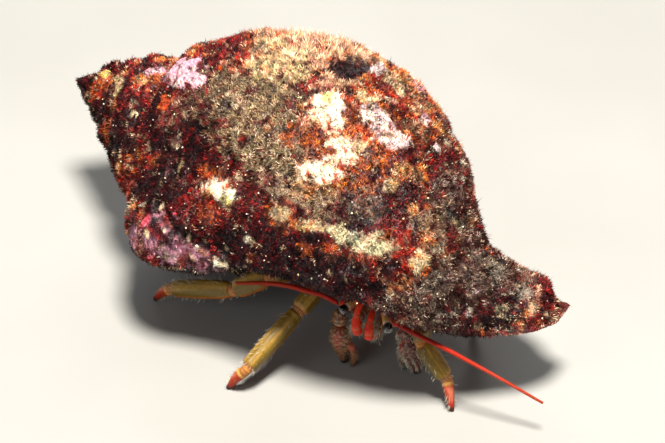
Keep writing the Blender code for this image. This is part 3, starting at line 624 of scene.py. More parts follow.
def paint(points):
    """The three tones found among the grains at points on the shell, and the amount of turf."""
    edges = edge_noises(points)
    broad, middle, small = (rough_noise(points, size * MM, seed) for size, seed in ((5, 2), (1.8, 3), (0.8, 4)))

    def lay(below, name, share):
        share = share[:, None, None]
        return below * (1 - share) + layers[name] * share

    layers = {name: np.array([TONES[name]] + [TONES[other] for other in GRAINS[name]]) for name in GRAINS}
    tones = np.tile(layers["maroon"], (len(points), 1, 1))
    tip = np.linalg.norm(points - APEX, axis=1) + 0.8 * MM * edges[:, 1]
    old = 1 - smooth(7 * MM, 12 * MM, tip)
    for name, share in (
        ("red", 0.8 * smooth(0.05, 0.40, broad)),
        ("orange_brown", 0.9 * smooth(0.22, 0.42, middle) * (1 - 0.5 * old)),
        ("orange", 0.8 * smooth(0.42, 0.6, middle) * (1 - 0.6 * old)),
        ("dark", 0.95 * smooth(0.08, 0.36, -middle + 0.10 * old)),
        ("beige", 0.55 * smooth(0.42, 0.60, small)),
        ("dark", 0.9 * (1 - smooth(1.4 * MM, 3.2 * MM, tip))),
    ):
        tones = lay(tones, name, share)
    turf = np.full(len(points), 0.75)
    holes = 0.85 * smooth(0.08, 0.36, rough_noise(points, 1.2 * MM, 0))
    for turn, high, along, across, name, strength, cover, *tilt in GROWTHS + SCATTERED:
        share = spread(points, edges, turn, high, along, across, *tilt) * strength
        if name in PATCHY:
            share = share * (1 - holes)
        tones = lay(tones, name, share)
        turf = turf + (cover - turf) * share
    # painted shade: the furrow is laid black along the groove
    for spot in furrow_spots():
        share = spread(points, edges, *spot, 0.80, 1.05, ragged=0.4)
        tones = lay(tones, "black", share)
        turf = turf * (1 - share)
    for turn, high, radius, name in BARNACLES:
        turf = turf * (1 - spread(points, edges, turn, high, 1.25 * radius, 1.25 * radius, ragged=0.1))
    # painted shade: the pit is laid dark and darkened further, as the hollow's shade
    pit = spread(points, edges, *PIT, ragged=0.35)
    tones = lay(tones, "dark", pit) * (1 - 0.6 * pit[:, None, None])
    turf = turf * (1 - 0.8 * pit)
    grown = smooth(0.3, 0.6, turf)
    tones = lay(tones, "black", 0.75 * smooth(0.20, 0.50, rough_noise(points, 0.6 * MM, 1)) * grown)
    pale = smooth(0.02, 0.16, tones[:, 0].mean(1)) * grown * (1 - pit)
    tones = lay(tones, "beige", 0.7 * smooth(0.36, 0.56, rough_noise(points, 0.45 * MM, 5)) * pale)
    deep = DEEPEST + (1 - DEEPEST) * smooth(0.02, 0.22, tones.mean(2, keepdims=True))
    return tones * deep * (1 + 0.30 * rough_noise(points, 0.9 * MM, 5)[:, None, None]), turf


def pick_grains(tones, chance):
    """One of the three tones for each point, by a number from 0 to 1."""
    which = (chance > 0.58).astype(int) + (chance > 0.82)
    return tones[np.arange(len(tones)), which]


CRUMBS = 84  # on the near side, in these tones by turns
CRUMB_TONES = ("cream", "white", "beige", "lilac", "orange", "beige", "black")
PATCHES = 64  # on the sides that face away, likewise
PATCH_TONES = (
    "mauve", "pink", "cream", "orange_red", "olive", "maroon", "white", "yellow", "salmon", "dark", "lilac",
)


def scattered_growths():
    """Crumbs of crust on the near side, and patches on the sides that face away, by a rule."""
    dice = np.random.default_rng(11)
    crumbs = [
        (dice.uniform(-125, -4), dice.uniform(0.28, 0.97), *dice.uniform(0.22, 0.50, 2),
         CRUMB_TONES[i % len(CRUMB_TONES)], 0.9, 0.4)
        for i in range(CRUMBS)
    ]
    patches = []
    for i in range(PATCHES):
        turn = -345 + 205 * (i + dice.random()) / PATCHES
        high = dice.uniform(0.30, 0.97)
        along, across = 0.6 + 2.8 * dice.random(2) ** 2
        name = PATCH_TONES[i % len(PATCH_TONES)]
        cover = 0.1 if name in ("mauve", "pink", "lilac") else 0.8
        patches.append((turn, high, along, across, name, 0.9, cover, dice.uniform(-40, 40)))
    return tuple(crumbs + patches)


SCATTERED = scattered_growths()

# Crusts with no turf, raised: (turn, height, mm along, mm across, rise in mm, and any tilt)
BARE = (
    (-78, 0.272, 1.7, 1.8, 0.28), (-76, 0.302, 1.4, 1.8, 0.28), (-71, 0.330, 1.0, 1.5, 0.25, -15),
    (-74, 0.615, 1.7, 1.7, 0.40), (-46, 0.645, 1.6, 2.0, 0.40), (-60, 0.662, 1.5, 1.4, 0.25),
    (-81, 0.702, 1.2, 1.6, 0.32), (-77, 0.757, 1.1, 1.3, 0.28), (-32, 0.474, 1.1, 1.8, 0.30, 10),
    (-26, 0.755, 1.2, 2.2, 0.25), (-33, 0.84, 0.9, 0.9, 0.30, 25), (-12, 0.415, 2.6, 2.0, 0.15),
    (-5, 0.455, 2.0, 3.2, 0.12), (-94, 0.821, 0.5, 0.5, 0.45), (-58, 0.955, 1.2, 1.2, 0.45),
    (-42, 0.353, 0.6, 0.6, 0.35), (-106, 0.648, 1.2, 1.0, 0.55), (-52, 0.93, 0.9, 0.9, 0.35),
    (-66, 0.925, 0.8, 0.8, 0.35),
)
SKIN_IN = 0.50  # mm that the skin lies inside the tips of its turf
CORDS = 26  # fine ridges over the height of the shell


def relief(points, names, edges):
    """How far the skin stands out of the plain spiral, in metres."""
    turn, high = names.T
    lump = 0.26 * rough_noise(points, 4.0 * MM, 0) + 0.20 * rough_noise(points, 1.5 * MM, 2)
    lump = lump + 0.13 * rough_noise(points, 0.7 * MM, 4)
    cords = 0.09 * np.cos(2 * math.pi * CORDS * high) * (high > SEAM_UP + 0.01)
    pit = spread(points, edges, *PIT, ragged=0.35)
    out = (lump + cords) * (1 - pit) - SKIN_IN - 0.55 * pit
    for turn0, high0, along, across, rise, *tilt in BARE:
        share = spread(points, edges, turn0, high0, along, across, *tilt, ragged=0.45)
        out = out + share * (rise + 0.12 * edges[:, 3] + 0.10 * edges[:, 2])
    for spot in furrow_spots():
        out = out - 0.6 * spread(points, edges, *spot, 0.8, 0.8, ragged=0.15)
    out = out - 0.45 * hump(turn, -112, 42) * hump(high, 0.285, 0.045)  # the worn shoulder
    return np.minimum(out, 0.05) * MM


def tube_faces(rings, around):
    """Quads between rings of points, one after another, and a cap at each end."""
    i, k = (v.ravel() for v in np.meshgrid(np.arange(rings - 1), np.arange(around), indexing="ij"))
    m = (k + 1) % around
    quads = np.stack([i * around + k, i * around + m, (i + 1) * around + m, (i + 1) * around + k], -1)
    return quads.tolist() + [list(range(around))[::-1], list(range((rings - 1) * around, rings * around))]


def join(name, shapes):
    """Several (points, faces, tones) as one mesh."""
    faces, shift = [], 0
    for shape in shapes:
        faces += [[v + shift for v in face] for face in shape[1]]
        shift += len(shape[0])
    points, _, tones = zip(*shapes)
    thing = add_mesh(name, np.concatenate(points), faces, np.concatenate(tones))
    face_outwards(thing.data)
    return thing


def tree_of(points):
    tree = KDTree(len(points))
    for i, point in enumerate(points):
        tree.insert(point, i)
    tree.balance()
    return tree


def mesh_arrays(mesh):
    count = len(mesh.vertices)
    points, normals = np.empty(count * 3, np.float32), np.empty(count * 3, np.float32)
    mesh.vertices.foreach_get("co", points)
    mesh.vertices.foreach_get("normal", normals)
    return points.reshape(-1, 3).astype(float), normals.reshape(-1, 3).astype(float)


SAME_PLACE = 0.002 * MM


def cut_open(shell):
    """Takes the cavity out of the shell, with a slower solver if the first one fails."""
    cutter_points, cutter_faces = cavity()
    cutter = add_mesh("cutter", shell_to_world(cutter_points), cutter_faces)
    face_outwards(cutter.data)
    for solver in ("MANIFOLD", "EXACT"):
        step = shell.modifiers.new("cavity", "BOOLEAN")
        step.operation, step.solver, step.object = "DIFFERENCE", solver, cutter
        graph = bpy.context.evaluated_depsgraph_get()
        cut = bpy.data.meshes.new_from_object(shell.evaluated_get(graph))
        shell.modifiers.clear()
        if len(cut.vertices) != len(shell.data.vertices):
            break
    shell.data = cut
    bpy.data.objects.remove(cutter, do_unlink=True)


def paint_skin(mesh, tree):
    """Tones of the cut shell: what grows on it outside, and bare within, found with the outside's points."""
    points = mesh_arrays(mesh)[0]
    away = np.array([tree.find(point)[2] for point in points])
    layers, turf = paint(points)
    chance = 0.5 + 0.9 * rough_noise(points, 0.5 * MM, 1)
    # painted shade: the skin is darkened where the turf over it grows thick
    tones = pick_grains(layers, chance) * (1 - 0.45 * smooth(0.2, 0.7, turf))[:, None]
    inner = mix(TONES["lip"], TONES["throat"], smooth(0.36 * MM, 1.2 * MM, away))
    set_tones(mesh, np.where(away[:, None] < SAME_PLACE, tones, inner))


def build_shell():
    """The shell's skin, cut open at its mouth. Returns what the turf grows on."""
    points, names, faces, outside = whole_shell()
    shell = add_mesh("shell_skin", shell_to_world(points), faces)
    face_outwards(shell.data)
    points, normals = mesh_arrays(shell.data)
    eased = smooth(0, 8, -names[:, 0]) * 0.75 + 0.25
    low = smooth(0.05 * MM, 1.0 * MM, points[:, 2])
    points = points + normals * (relief(points, names, edge_noises(points)) * eased * low)[:, None]
    points[:, 2] = np.maximum(points[:, 2], 0)
    shell.data.vertices.foreach_set("co", points.astype(np.float32).ravel())
    shell.data.update()
    normals = mesh_arrays(shell.data)[1]

    cut_open(shell)
    paint_skin(shell.data, tree_of(points))
    shell.data.polygons.foreach_set("use_smooth", np.full(len(shell.data.polygons), True))
    shell.data.set_sharp_from_angle(angle=math.radians(60))
    place(shell, "shell_growth", grown_material(), "shell")

    quads = np.array(faces[:outside + STEPS])  # with the canal's end
    triangles = np.concatenate([quads[:, [0, 1, 2]], quads[:, [0, 2, 3]], np.array(faces[-STEPS - EARLY + 2:])])
    return shell, points, normals, names, triangles


# ---------------------------------------------------------------- filaments
FILAMENT_FACES = np.array([
    (0, 1, 4), (0, 4, 3), (1, 2, 5), (1, 5, 4), (2, 0, 3), (2, 3, 5), (3, 4, 6), (4, 5, 6), (5, 3, 6),
])
SPIKE_FACES = np.array([(0, 1, 3), (1, 2, 3), (2, 0, 3)])
FILAMENT_UV = np.array([(0, 0), (0.5, 0), (1, 0), (0, 0.5), (0.5, 0.5), (1, 0.5), (0.5, 1)]) - 0.5
SPIKE_UV = np.array([(0, 0), (0.5, 0), (1, 0), (0.5, 1)]) - 0.5
PATCH = 0.003  # of a filament on its map


def filament_mesh(name, roots, ways, bends, lengths, widths, root_tones, tip_tones, places, spikes=False):
    """Three-sided pointed filaments, or plainer spikes, as one mesh, with their places on the OFBake map."""
    count, corners = len(roots), 4 if spikes else 7
    side = unit(np.cross(ways, bends + 1e-9))
    other = np.cross(ways, side)
    points, tones = np.zeros((count, corners, 3)), np.zeros((count, corners, 3))
    middle = roots + (ways * 0.55 + bends * 0.08) * lengths[:, None]
    for k in range(3):
        a = math.tau * k / 3
        spoke = (side * math.cos(a) + other * math.sin(a)) * widths[:, None] / 2
        points[:, k] = roots - ways * 0.06 * MM + spoke
        if not spikes:
            points[:, 3 + k] = middle + spoke * 0.8
    points[:, -1] = roots + (ways * 0.9 + bends * 0.45) * lengths[:, None]
    points[:, :, 2] = np.maximum(points[:, :, 2], 0.02 * MM)
    tones[:, :3] = root_tones[:, None]
    if not spikes:
        tones[:, 3:6] = (0.4 * root_tones + 0.6 * tip_tones)[:, None]
    tones[:, -1] = tip_tones
    shape, patch = (SPIKE_FACES, SPIKE_UV) if spikes else (FILAMENT_FACES, FILAMENT_UV)
    faces = (shape[None] + corners * np.arange(count)[:, None, None]).reshape(-1, 3)
    uv = places[:, None, None] + PATCH * patch[shape][None]
    return add_mesh(name, points.reshape(-1, 3), faces, tones.reshape(-1, 3), uv.reshape(-1, 2))


def turf_roots(shell, points, normals, names, triangles, dice):
    """Where the turf grows: roots, ways out, (turn, height), grains, turf and clump at each."""
    a, b, c = (points[triangles[:, k]] for k in range(3))
    area = np.linalg.norm(np.cross(b - a, c - a), axis=1) / 2
    tried = int((FILAMENTS + SPIKES) * TRIED)
    chosen = triangles[dice.choice(len(triangles), tried, p=area / area.sum())]
    share = dice.random((len(chosen), 2))
    share = np.where(share.sum(1, keepdims=True) > 1, 1 - share, share)
    weights = np.stack([1 - share.sum(1), share[:, 0], share[:, 1]], 1)[..., None]
    corner_names = names[chosen]
    # a corner shared with the whorl before is named as the whorl it is on
    behind = corner_names[..., 0] < corner_names[..., 0].max(1, keepdims=True) - 180
    corner_names = np.where(behind[..., None], np.array((360, SEAM_UP - SEAM)) + corner_names, corner_names)
    roots = (points[chosen] * weights).sum(1)
    outs = unit((normals[chosen] * weights).sum(1))
    where = (corner_names * weights).sum(1)
    keep = roots[:, 2] > 0.12 * MM
    roots, outs, where = roots[keep], outs[keep], where[keep]
    tree = BVHTree.FromObject(shell, bpy.context.evaluated_depsgraph_get())
    keep = np.array([(tree.find_nearest(root)[3] or 0) < 0.02 * MM for root in roots])
    roots, outs, where = roots[keep], outs[keep], where[keep]
    layers, turf = paint(roots)
    clump = rough_noise(roots, 0.8 * MM, 2)
    keep = dice.random(len(roots)) < 0.25 + 0.9 * np.clip(turf, 0, 1) + 0.4 * clump
    keep = keep & (turf + 0.2 * clump > 0.12)
    return [v[keep][:FILAMENTS + SPIKES] for v in (roots, outs, where, layers, turf, clump)]


def turf_tones(layers, roots, own, away, dice):
    """Tones of the filaments' feet and tips: the feet far darker as painted shade deep in the turf, and all
    darker at the rim of a tuft as painted shade between tufts, with a few pale ones.
    """
    count = len(roots)
    chance = 0.5 + 0.5 * (dice.random(count) - 0.5) + 0.18 * own + 0.35 * rough_noise(roots, 0.7 * MM, 3)
    tones = pick_grains(layers, chance)
    # The shade factor varies the tone at random, and its fall with away is painted shade in the gaps at the
    # rims of the tufts.
    shade = 0.38 * dice.normal(size=count) + 0.35 * own + 0.5 * rough_noise(roots, 0.42 * MM, 0)
    shade = np.exp(shade + 0.5 * rough_noise(roots, 1.3 * MM, 4) + 0.45 - 1.5 * away)
    tips = tones * np.clip(shade, 0.10, 2.4)[:, None] * 1.1
    pale = (dice.random(count) < 0.08) * dice.uniform(0.3, 0.9, count) * smooth(0.01, 0.10, tones.mean(1))
    tips = mix(tips, 0.35 * np.array(TONES["cream"]) + 0.9 * tones, pale)
    # painted shade: the feet are far darker than the tips, deep in the turf
    return tips * np.array((0.30, 0.22, 0.22)), tips


def turf_map(where):
    """Places on the OFBake map: turns across, heights up, with a gap at the seam."""
    turn, high = where.T
    early, late = (high - SEAM_UP) / (SEAM - SEAM_UP) * 0.35, 0.38 + 0.6 * (high - SEAM) / (1 - SEAM)
    places = np.stack([(turn / 360 + TURNS) / TURNS, np.where(high < SEAM, early, late)], 1)
    return 0.01 + 0.98 * np.clip(places, 0, 1)


def build_turf(*ground):
    """Filaments in tufts and shorter spikes all over the shell, in several pieces each, and grit."""
    dice = np.random.default_rng(5)
    roots, outs, where, layers, turf, clump = turf_roots(*ground, dice)
    count = len(roots)

    # rosettes: filaments lean away from the middles of their tufts
    middles = roots[dice.choice(count, count // IN_TUFT, replace=False)]
    tree = tree_of(middles)
    tuft = np.array([tree.find(root)[1] for root in roots])
    lean = roots - middles[tuft]
    lean = lean - outs * (lean * outs).sum(1, keepdims=True)
    away = smooth(0.05 * MM, 0.45 * MM, np.linalg.norm(lean, axis=1))
    tangent = unit(unit(lean) + 0.6 * unit(np.cross(outs, dice.normal(size=(count, 3)))))
    ways = unit(outs + (0.15 + 0.85 * away[:, None]) * tangent * dice.random((count, 1)) ** 0.5)
    own = dice.normal(size=len(middles))[tuft]
    bends = unit(np.cross(outs, dice.normal(size=(count, 3)))) * dice.uniform(0.2, 1.2, (count, 1))
    near_floor = smooth(0.2 * MM, 1.5 * MM, roots[:, 2])
    tall = smooth(1.02, 1.18, turf) * (dice.random(count) < 0.30) + 0.7 * (dice.random(count) < 0.035)
    tall = tall * dice.uniform(0.5, 1.3, count)
    lengths = (0.22 + 0.34 * np.clip(turf, 0, 1) * dice.random(count) + 0.12 * clump + 0.50 * tall) * MM
    lengths = lengths * (1.12 - 0.35 * away)
    lengths = np.maximum(lengths, 0.12 * MM) * (0.4 + 0.6 * near_floor)
    widths = dice.uniform(0.06, 0.12, count) * (1 - 0.35 * np.clip(tall, 0, 1)) * MM

    stems, tips = turf_tones(layers, roots, own, away, dice)
    places = turf_map(where)
    parts = roots, ways, bends, lengths, widths, stems, tips, places
    material = turf_material()
    numbers = np.arange(count)
    for kind, some, in_piece in (
        ("turf", numbers[:FILAMENTS], FILAMENTS_IN_PIECE), ("fuzz", numbers[FILAMENTS:], SPIKES_IN_PIECE),
    ):
        # a piece takes a run of turns, with the canal's half apart
        some = some[np.argsort(where[some, 0] + 1000 * (where[some, 1] > 0.6))]
        for i, start in enumerate(range(0, len(some), in_piece)):
            own_parts = (v[some[start:start + in_piece]] for v in parts)
            piece = filament_mesh(f"{kind}_{i + 1}", *own_parts, kind == "fuzz")
            place(piece, "shell_growth", material)
    build_grit(roots, outs, places, dice)


GRAIN_POINTS = np.array([(1, 0, 0), (-1, 0, 0), (0, 1, 0), (0, -1, 0), (0, 0, 1), (0, 0, -1)], float)
GRAIN_FACES = np.array([
    (0, 2, 4), (2, 1, 4), (1, 3, 4), (3, 0, 4), (2, 0, 5), (1, 2, 5), (3, 1, 5), (0, 3, 5),
])
GRAIN_UV = np.array([(1, 0.5), (0, 0.5), (0.5, 1), (0.5, 0), (0.5, 0.5), (0.6, 0.6)]) - 0.5


def build_grit(roots, outs, places, dice):
    """Sand grains caught in the turf, as one mesh with its map."""
    some = dice.choice(len(roots), GRIT, replace=False)
    middles = roots[some] + outs[some] * dice.uniform(0.02, 0.25, (GRIT, 1)) * MM
    sizes = dice.uniform(0.04, 0.115, (GRIT, 1, 1)) * MM * dice.uniform(0.7, 1.3, (GRIT, 6, 1))
    turned = np.linalg.qr(dice.normal(size=(GRIT, 3, 3)))[0]
    points = middles[:, None] + np.einsum("nij,kj->nki", turned, GRAIN_POINTS) * sizes
    points[..., 2] = np.maximum(points[..., 2], 0.01 * MM)
    kinds = np.array([TONES[name] for name in ("white", "cream", "beige", "lilac", "yellow", "pale_green")])
    tones = kinds[dice.integers(0, len(kinds), GRIT)] * dice.uniform(0.4, 1.1, (GRIT, 1))
    faces = (GRAIN_FACES[None] + 6 * np.arange(GRIT)[:, None, None]).reshape(-1, 3)
    uv = places[some][:, None, None] + PATCH * GRAIN_UV[GRAIN_FACES][None]
    tones = np.repeat(tones, 6, axis=0)
    piece = add_mesh("grit", points.reshape(-1, 3), faces, tones, uv.reshape(-1, 2), flat=True)
    face_outwards(piece.data)
    place(piece, "shell_growth", turf_material())


# ---------------------------------------------------------------- settlers on the shell
# (turn, height, radius in mm, tone)
BARNACLES = (
    (-402.5, 0.334, 0.52, "cream"), (-78, 0.415, 0.50, "beige"), (-27, 0.328, 0.42, "beige"),
    (-94, 0.821, 0.42, "lilac"), (-42, 0.353, 0.42, "beige"), (-55.5, 0.441, 0.26, "yellow"),
    (-12.5, 0.464, 0.24, "white"), (-3.5, 0.498, 0.40, "white"), (-17, 0.345, 0.22, "white"),
    (-14, 0.549, 0.24, "white"), (-60, 0.905, 0.30, "beige"), (-210, 0.60, 0.60, "cream"),
    (-228, 0.52, 0.45, "beige"), (-250, 0.72, 0.50, "cream"), (-190, 0.42, 0.40, "white"),
    (-300, 0.55, 0.45, "cream"),
)
# White worm tubes, each as (turn, height) places
WORM_TUBES = (
    ((-7.0, 0.396), (-6.2, 0.402), (-5.6, 0.412)), ((-2.6, 0.434), (-1.9, 0.440), (-1.7, 0.449)),
    ((-205, 0.66), (-200, 0.68), (-203, 0.71), (-209, 0.72)), ((-262, 0.44), (-256, 0.45), (-253, 0.47)),
)
# A barnacle's outline: (radius, height) in radii, from its foot over its rim into its mouth
BARNACLE = (
    (1.0, -0.75), (1.0, 0.02), (0.90, 0.28), (0.72, 0.60), (0.56, 0.80), (0.46, 0.84),
    (0.38, 0.72), (0.34, 0.45), (0.02, 0.42),
)
BARNACLE_UP, TUBE_UP = 0.36, 0.18  # mm above the skin


def build_settlers(shell):
    tree = BVHTree.FromObject(shell, bpy.context.evaluated_depsgraph_get())

    def settled(turn, high, raised=0.0):
        """A place on the skin and its directions."""
        spot, along, across, out = on_shell(turn, high)
        found = tree.ray_cast(spot + out * 0.3 * MM, -out, 2.5 * MM)[0] or tree.find_nearest(spot)[0]
        return np.array(found) + out * raised * MM, along, across, out

    def ring(first, second, angles):
        return first * np.cos(angles)[:, None] + second * np.sin(angles)[:, None]

    def shape(rows, colours):
        return np.concatenate(rows), tube_faces(len(rows), len(rows[0])), np.concatenate(colours)

    shapes, dice = [], np.random.default_rng(3)
    angles = math.tau * np.arange(24) / 24
    for turn, high, radius, name in BARNACLES:
        spot, along, across, out = settled(turn, high, BARNACLE_UP)
        rows, colours = [], []
        plates = 1 + 0.07 * np.abs(np.cos(3 * angles)) + 0.03 * np.cos(12 * angles)
        plates = plates + 0.03 * dice.normal(size=24)
        for k, (wide, tall) in enumerate(BARNACLE):
            r = radius * MM * wide * (plates if k < 6 else np.ones(24))
            rows.append(spot + ring(along, across, angles) * r[:, None] + out * tall * radius * MM)
            # inside the mouth the tone is cut to 0.3 as painted shade; round the rim, the plates' own stripes
            shade = np.full(24, 0.30) if k > 6 else 0.75 + 0.25 * np.cos(12 * angles)
            colours.append(np.array(TONES[name]) * shade[:, None])
        shapes.append(shape(rows, colours))
    angles = math.tau * np.arange(12) / 12
    for tube in WORM_TUBES:
        shares = np.linspace(0, len(tube) - 1, 10 * (len(tube) - 1) + 1)
        turns, highs = (np.interp(shares, np.arange(len(tube)), values) for values in np.array(tube).T)
        frames = [settled(t, h, TUBE_UP) for t, h in zip(turns, highs)]
        line = np.array([frame[0] for frame in frames])
        ways = unit(np.gradient(line, axis=0))
        rows, colours = [], []
        for k, (spot, way, share) in enumerate(zip(line, ways, shares)):
            out, wave = frames[k][3], math.cos(k * 2.1)
            r = (0.10 + 0.10 * share / shares[-1]) * MM * (1 + 0.06 * wave)
            rows.append(spot + ring(unit(np.cross(way, out)), out, angles) * r)
            colours.append(np.tile(np.array(TONES["white"]) * (0.85 + 0.15 * wave), (12, 1)))
        # painted shade: a dark cap sunk in the tube's open end
        rows.append(line[-1] - ways[-1] * 0.15 * MM + (rows[-1] - line[-1]) * 0.6)
        colours.append(np.tile(TONES["dark"], (12, 1)))
        shapes.append(shape(rows, colours))
    place(join("settlers", shapes), "shell_growth", chitin("settlers", 0.45, 0.08, 0.12, 0.03))


# ---------------------------------------------------------------- the crab's limbs
def crab_to_world(points):
    """(across, ahead, up) in millimetres to the world."""
    across, ahead, up = np.asarray(points, float).T
    yaw = math.radians(YAW)
    return np.stack([
        (across * math.cos(yaw) - ahead * math.sin(yaw)) * MM - MIDDLE[0],
        (-across * math.sin(yaw) - ahead * math.cos(yaw)) * MM - MIDDLE[1],
        up * MM,
    ], -1)


AHEAD = crab_to_world([(0, 1, 0)])[0] - crab_to_world([(0, 0, 0)])[0]


def plain_swell(share, angle, run):
    return 1.0


def turning_frames(along, side):
    """Two directions across each way along a path, that turn only as it bends."""
    across, tops = [], []
    for way in along:
        side = unit(side - way * (side @ way))
        across.append(side)
        tops.append(np.cross(side, way))
    return np.array(across), np.array(tops)


class Limb:
    """A round-ended tube along a path of the crab's frame, fine enough to carve and paint."""

    def __init__(
        self, path, radii, sides=28, step=0.09, trim=(0.05, 0.05), swell=plain_swell, ref=None, ends=(1, 1),
    ):
        """In mm: path, radii or (across, up) radii through it, length of a facet, and cuts of both ends."""
        line = crab_to_world(path)
        half = np.array([r if isinstance(r, tuple) else (r, r) for r in radii], float) * MM
        run = np.concatenate([[0], np.cumsum(np.linalg.norm(np.diff(line, axis=0), axis=1))])
        start, end = trim[0] * MM, run[-1] - trim[1] * MM
        domes = [min(0.6 * half[k].mean() * ends[k], (end - start) * 0.3) for k in (0, -1)]
        steep = (1 - np.cos(np.linspace(0, math.pi / 2, 8)))[:-1]
        middle = np.linspace(start + domes[0], end - domes[1], max(6, int((end - start) / (step * MM))))
        stops = np.concatenate([start + domes[0] * steep, middle, (end - domes[1] * steep)[::-1]])
        at = np.stack([curve_through(np.stack([run, line[:, k]], 1), stops) for k in range(3)], 1)
        size = np.stack([curve_through(np.stack([run, half[:, k]], 1), stops) for k in range(2)], 1)
        dome = np.ones(len(stops))
        for edge, wide in ((stops - start, domes[0]), (end - stops, domes[1])):
            near = np.clip(1 - edge / wide, 0, 1)
            dome *= np.sqrt(np.clip(1 - near * near, 0.0004, 1))
        along = unit(np.gradient(at, axis=0))
        if ref is None:
            ref = (0, 0, 1) if abs(along[0][2]) < 0.75 else AHEAD
        across, tops = turning_frames(along, unit(np.cross(along[0], np.asarray(ref, float))))
        self.sides, self.rings = sides, len(stops)
        self.angle = math.tau * (np.arange(sides) + 0.5) / sides
        self.share = (stops - start) / (end - start)
        self.run, self.length = (stops - start) / MM, (end - start) / MM
        share, angle = self.share[:, None], self.angle[None]
        grow = swell(share, angle, self.run[:, None]) * dome[:, None]
        spoke = (
            across[:, None] * (size[:, :1] * np.cos(angle))[..., None]
            + tops[:, None] * (size[:, 1:] * np.sin(angle))[..., None]
        )
        self.points = at[:, None] + spoke * np.broadcast_to(grow, spoke.shape[:2])[..., None]
        self.points[..., 2] = np.maximum(self.points[..., 2], 0)
        self.out, self.way = unit(spoke), along

    def flat(self):
        return self.points.reshape(-1, 3)

    def shape(self, tones):
        """Points, faces and tones, or one tone for all."""
        return self.flat(), tube_faces(self.rings, self.sides), np.broadcast_to(tones, self.flat().shape)

    def grid(self):
        """Share along, angle round and run in millimetres, for each point."""
        share = np.repeat(self.share, self.sides)
        return share, np.tile(self.angle, self.rings), np.repeat(self.run, self.sides)

    def at(self, share, angle):
        """Nearest points, their outward directions and the way along, for places on the limb."""
        i = np.clip(np.searchsorted(self.share, share), 1, self.rings - 2)
        k = (np.asarray(angle) / math.tau * self.sides).astype(int) % self.sides
        return self.points[i, k], self.out[i, k], self.way[i]


def skin(node, limb, tones, slot, material, *nodes):
    """One limb as the piece that stands in for its CAD node, or for the nodes given."""
    place(join(f"{node}_skin", [limb.shape(tones)]), slot, material, *(nodes or (node,)))


def tuft(limb, count, low, high, middles, wide, length, lean, seed, tone):
    """A group of bristles scattered on a limb."""
    return (limb, *scatter(count, low, high, middles, wide, seed), length, lean, seed, tone)


def ramp_tones(x, *stops):
    """Tones by x through (x, tone) stops, smoothly."""
    places = [stop[0] for stop in stops]
    return np.stack([np.interp(x, places, [stop[1][k] for stop in stops]) for k in range(3)], 1)


# Tones of the crab, linear
GOLD = (0.182, 0.108, 0.006)
OLIVE = (0.100, 0.066, 0.005)
DARK_OLIVE = (0.065, 0.030, 0.006)
# a pale gold for joint rings, pale streaks and spots, and the painted highlight along a leg's top
PALE_GOLD = (0.56, 0.33, 0.09)
EDGE = (0.42, 0.085, 0.010)
TOE = (0.38, 0.030, 0.005)
# the painted highlight on a toe's upper side
TOE_HIGHLIGHT = (0.60, 0.20, 0.12)
CLAW_DARK = (0.050, 0.018, 0.012)
CLAW_BROWN = (0.17, 0.070, 0.032)
CLAW_PALE = (0.52, 0.36, 0.22)
RED = (0.35, 0.009, 0.003)
BRIGHT_RED = (0.62, 0.030, 0.008)
DARK_RED = (0.26, 0.008, 0.006)
PALE_RED = (0.34, 0.030, 0.004)
TAN = (0.55, 0.27, 0.10)
FLESH = (0.62, 0.34, 0.24)
FLESH_RED = (0.46, 0.15, 0.11)
SALMON = (0.78, 0.22, 0.10)
BRISTLE = (0.82, 0.74, 0.55)
BRISTLE_DARK = (0.40, 0.27, 0.14)


def streaks(limb, count, seed):
    """Fine lengthwise streaks from -1 to 1 round a limb."""
    _, angle, run = limb.grid()
    q = np.stack([np.cos(angle) * count / 6, np.sin(angle) * count / 6, run * 0.22 + seed * 3.7], 1)
    return rough_noise(q, 1.0, seed)


def leg_tones(limb, dark, seed):
    """Hard skin of a leg: streaked, with a painted highlight along its top and painted shade on its flanks,
    orange along its lower edge, ringed at its joints.
    """
    run, up = limb.grid()[2], limb.out[..., 2].ravel()
    lines = streaks(limb, 26, seed)
    spots = rough_noise(limb.flat(), 0.28 * MM, seed + 1)
    edge = np.minimum(run, limb.length - run)
    return layered(
        GOLD,
        (dark, smooth(0.05, 0.6, lines) * 0.75),
        # pale streaks on the upper side only: real streaks, paler there as painted light
        (PALE_GOLD, smooth(0.1, 0.6, -lines) * smooth(-0.1, 0.6, up) * 0.6),
        # painted shade on the flanks
        (dark, hump(up, 0.05, 0.30) * 0.55),
        # painted highlight along the top
        (PALE_GOLD, hump(up, 0.72, 0.14) * 0.5),
        (EDGE, smooth(0.25, 0.7, -up) * 0.8),
        (dark, smooth(0.15, 0.5, spots) * 0.35),
        (EDGE, (1 - smooth(0.10, 0.42, edge + 0.06 * spots)) * 0.8),
        (PALE_GOLD, hump(edge, 0.13, 0.05) * 0.9),
    )


def chitin(name, rough=0.32, grain=0.10, pits=0.16, bump=0.02, wet=0.22):
    """Hard skin: the painted tone, a fine mottle, pores and a wet coat."""
    m = Nodes(name)
    fine = m.noise(grain * MM)
    pores = m.between(m.cells(pits * MM), 0.0, 0.3, 0, 1)
    return m.finish(
        m.mottled(m.between(fine, 0.3, 0.7, 0, 1), (0.78, 0.74, 0.72), (1.15, 1.15, 1.12)),
        m.between(fine, 0.3, 0.7, rough + 0.12, rough - 0.06),
        Specular_IOR_Level=wet, Coat_Weight=wet, Coat_Roughness=0.07,
        Normal=m.bump(pores, bump * MM, 0.5, Normal=m.bump(fine, bump * MM, 0.6)))


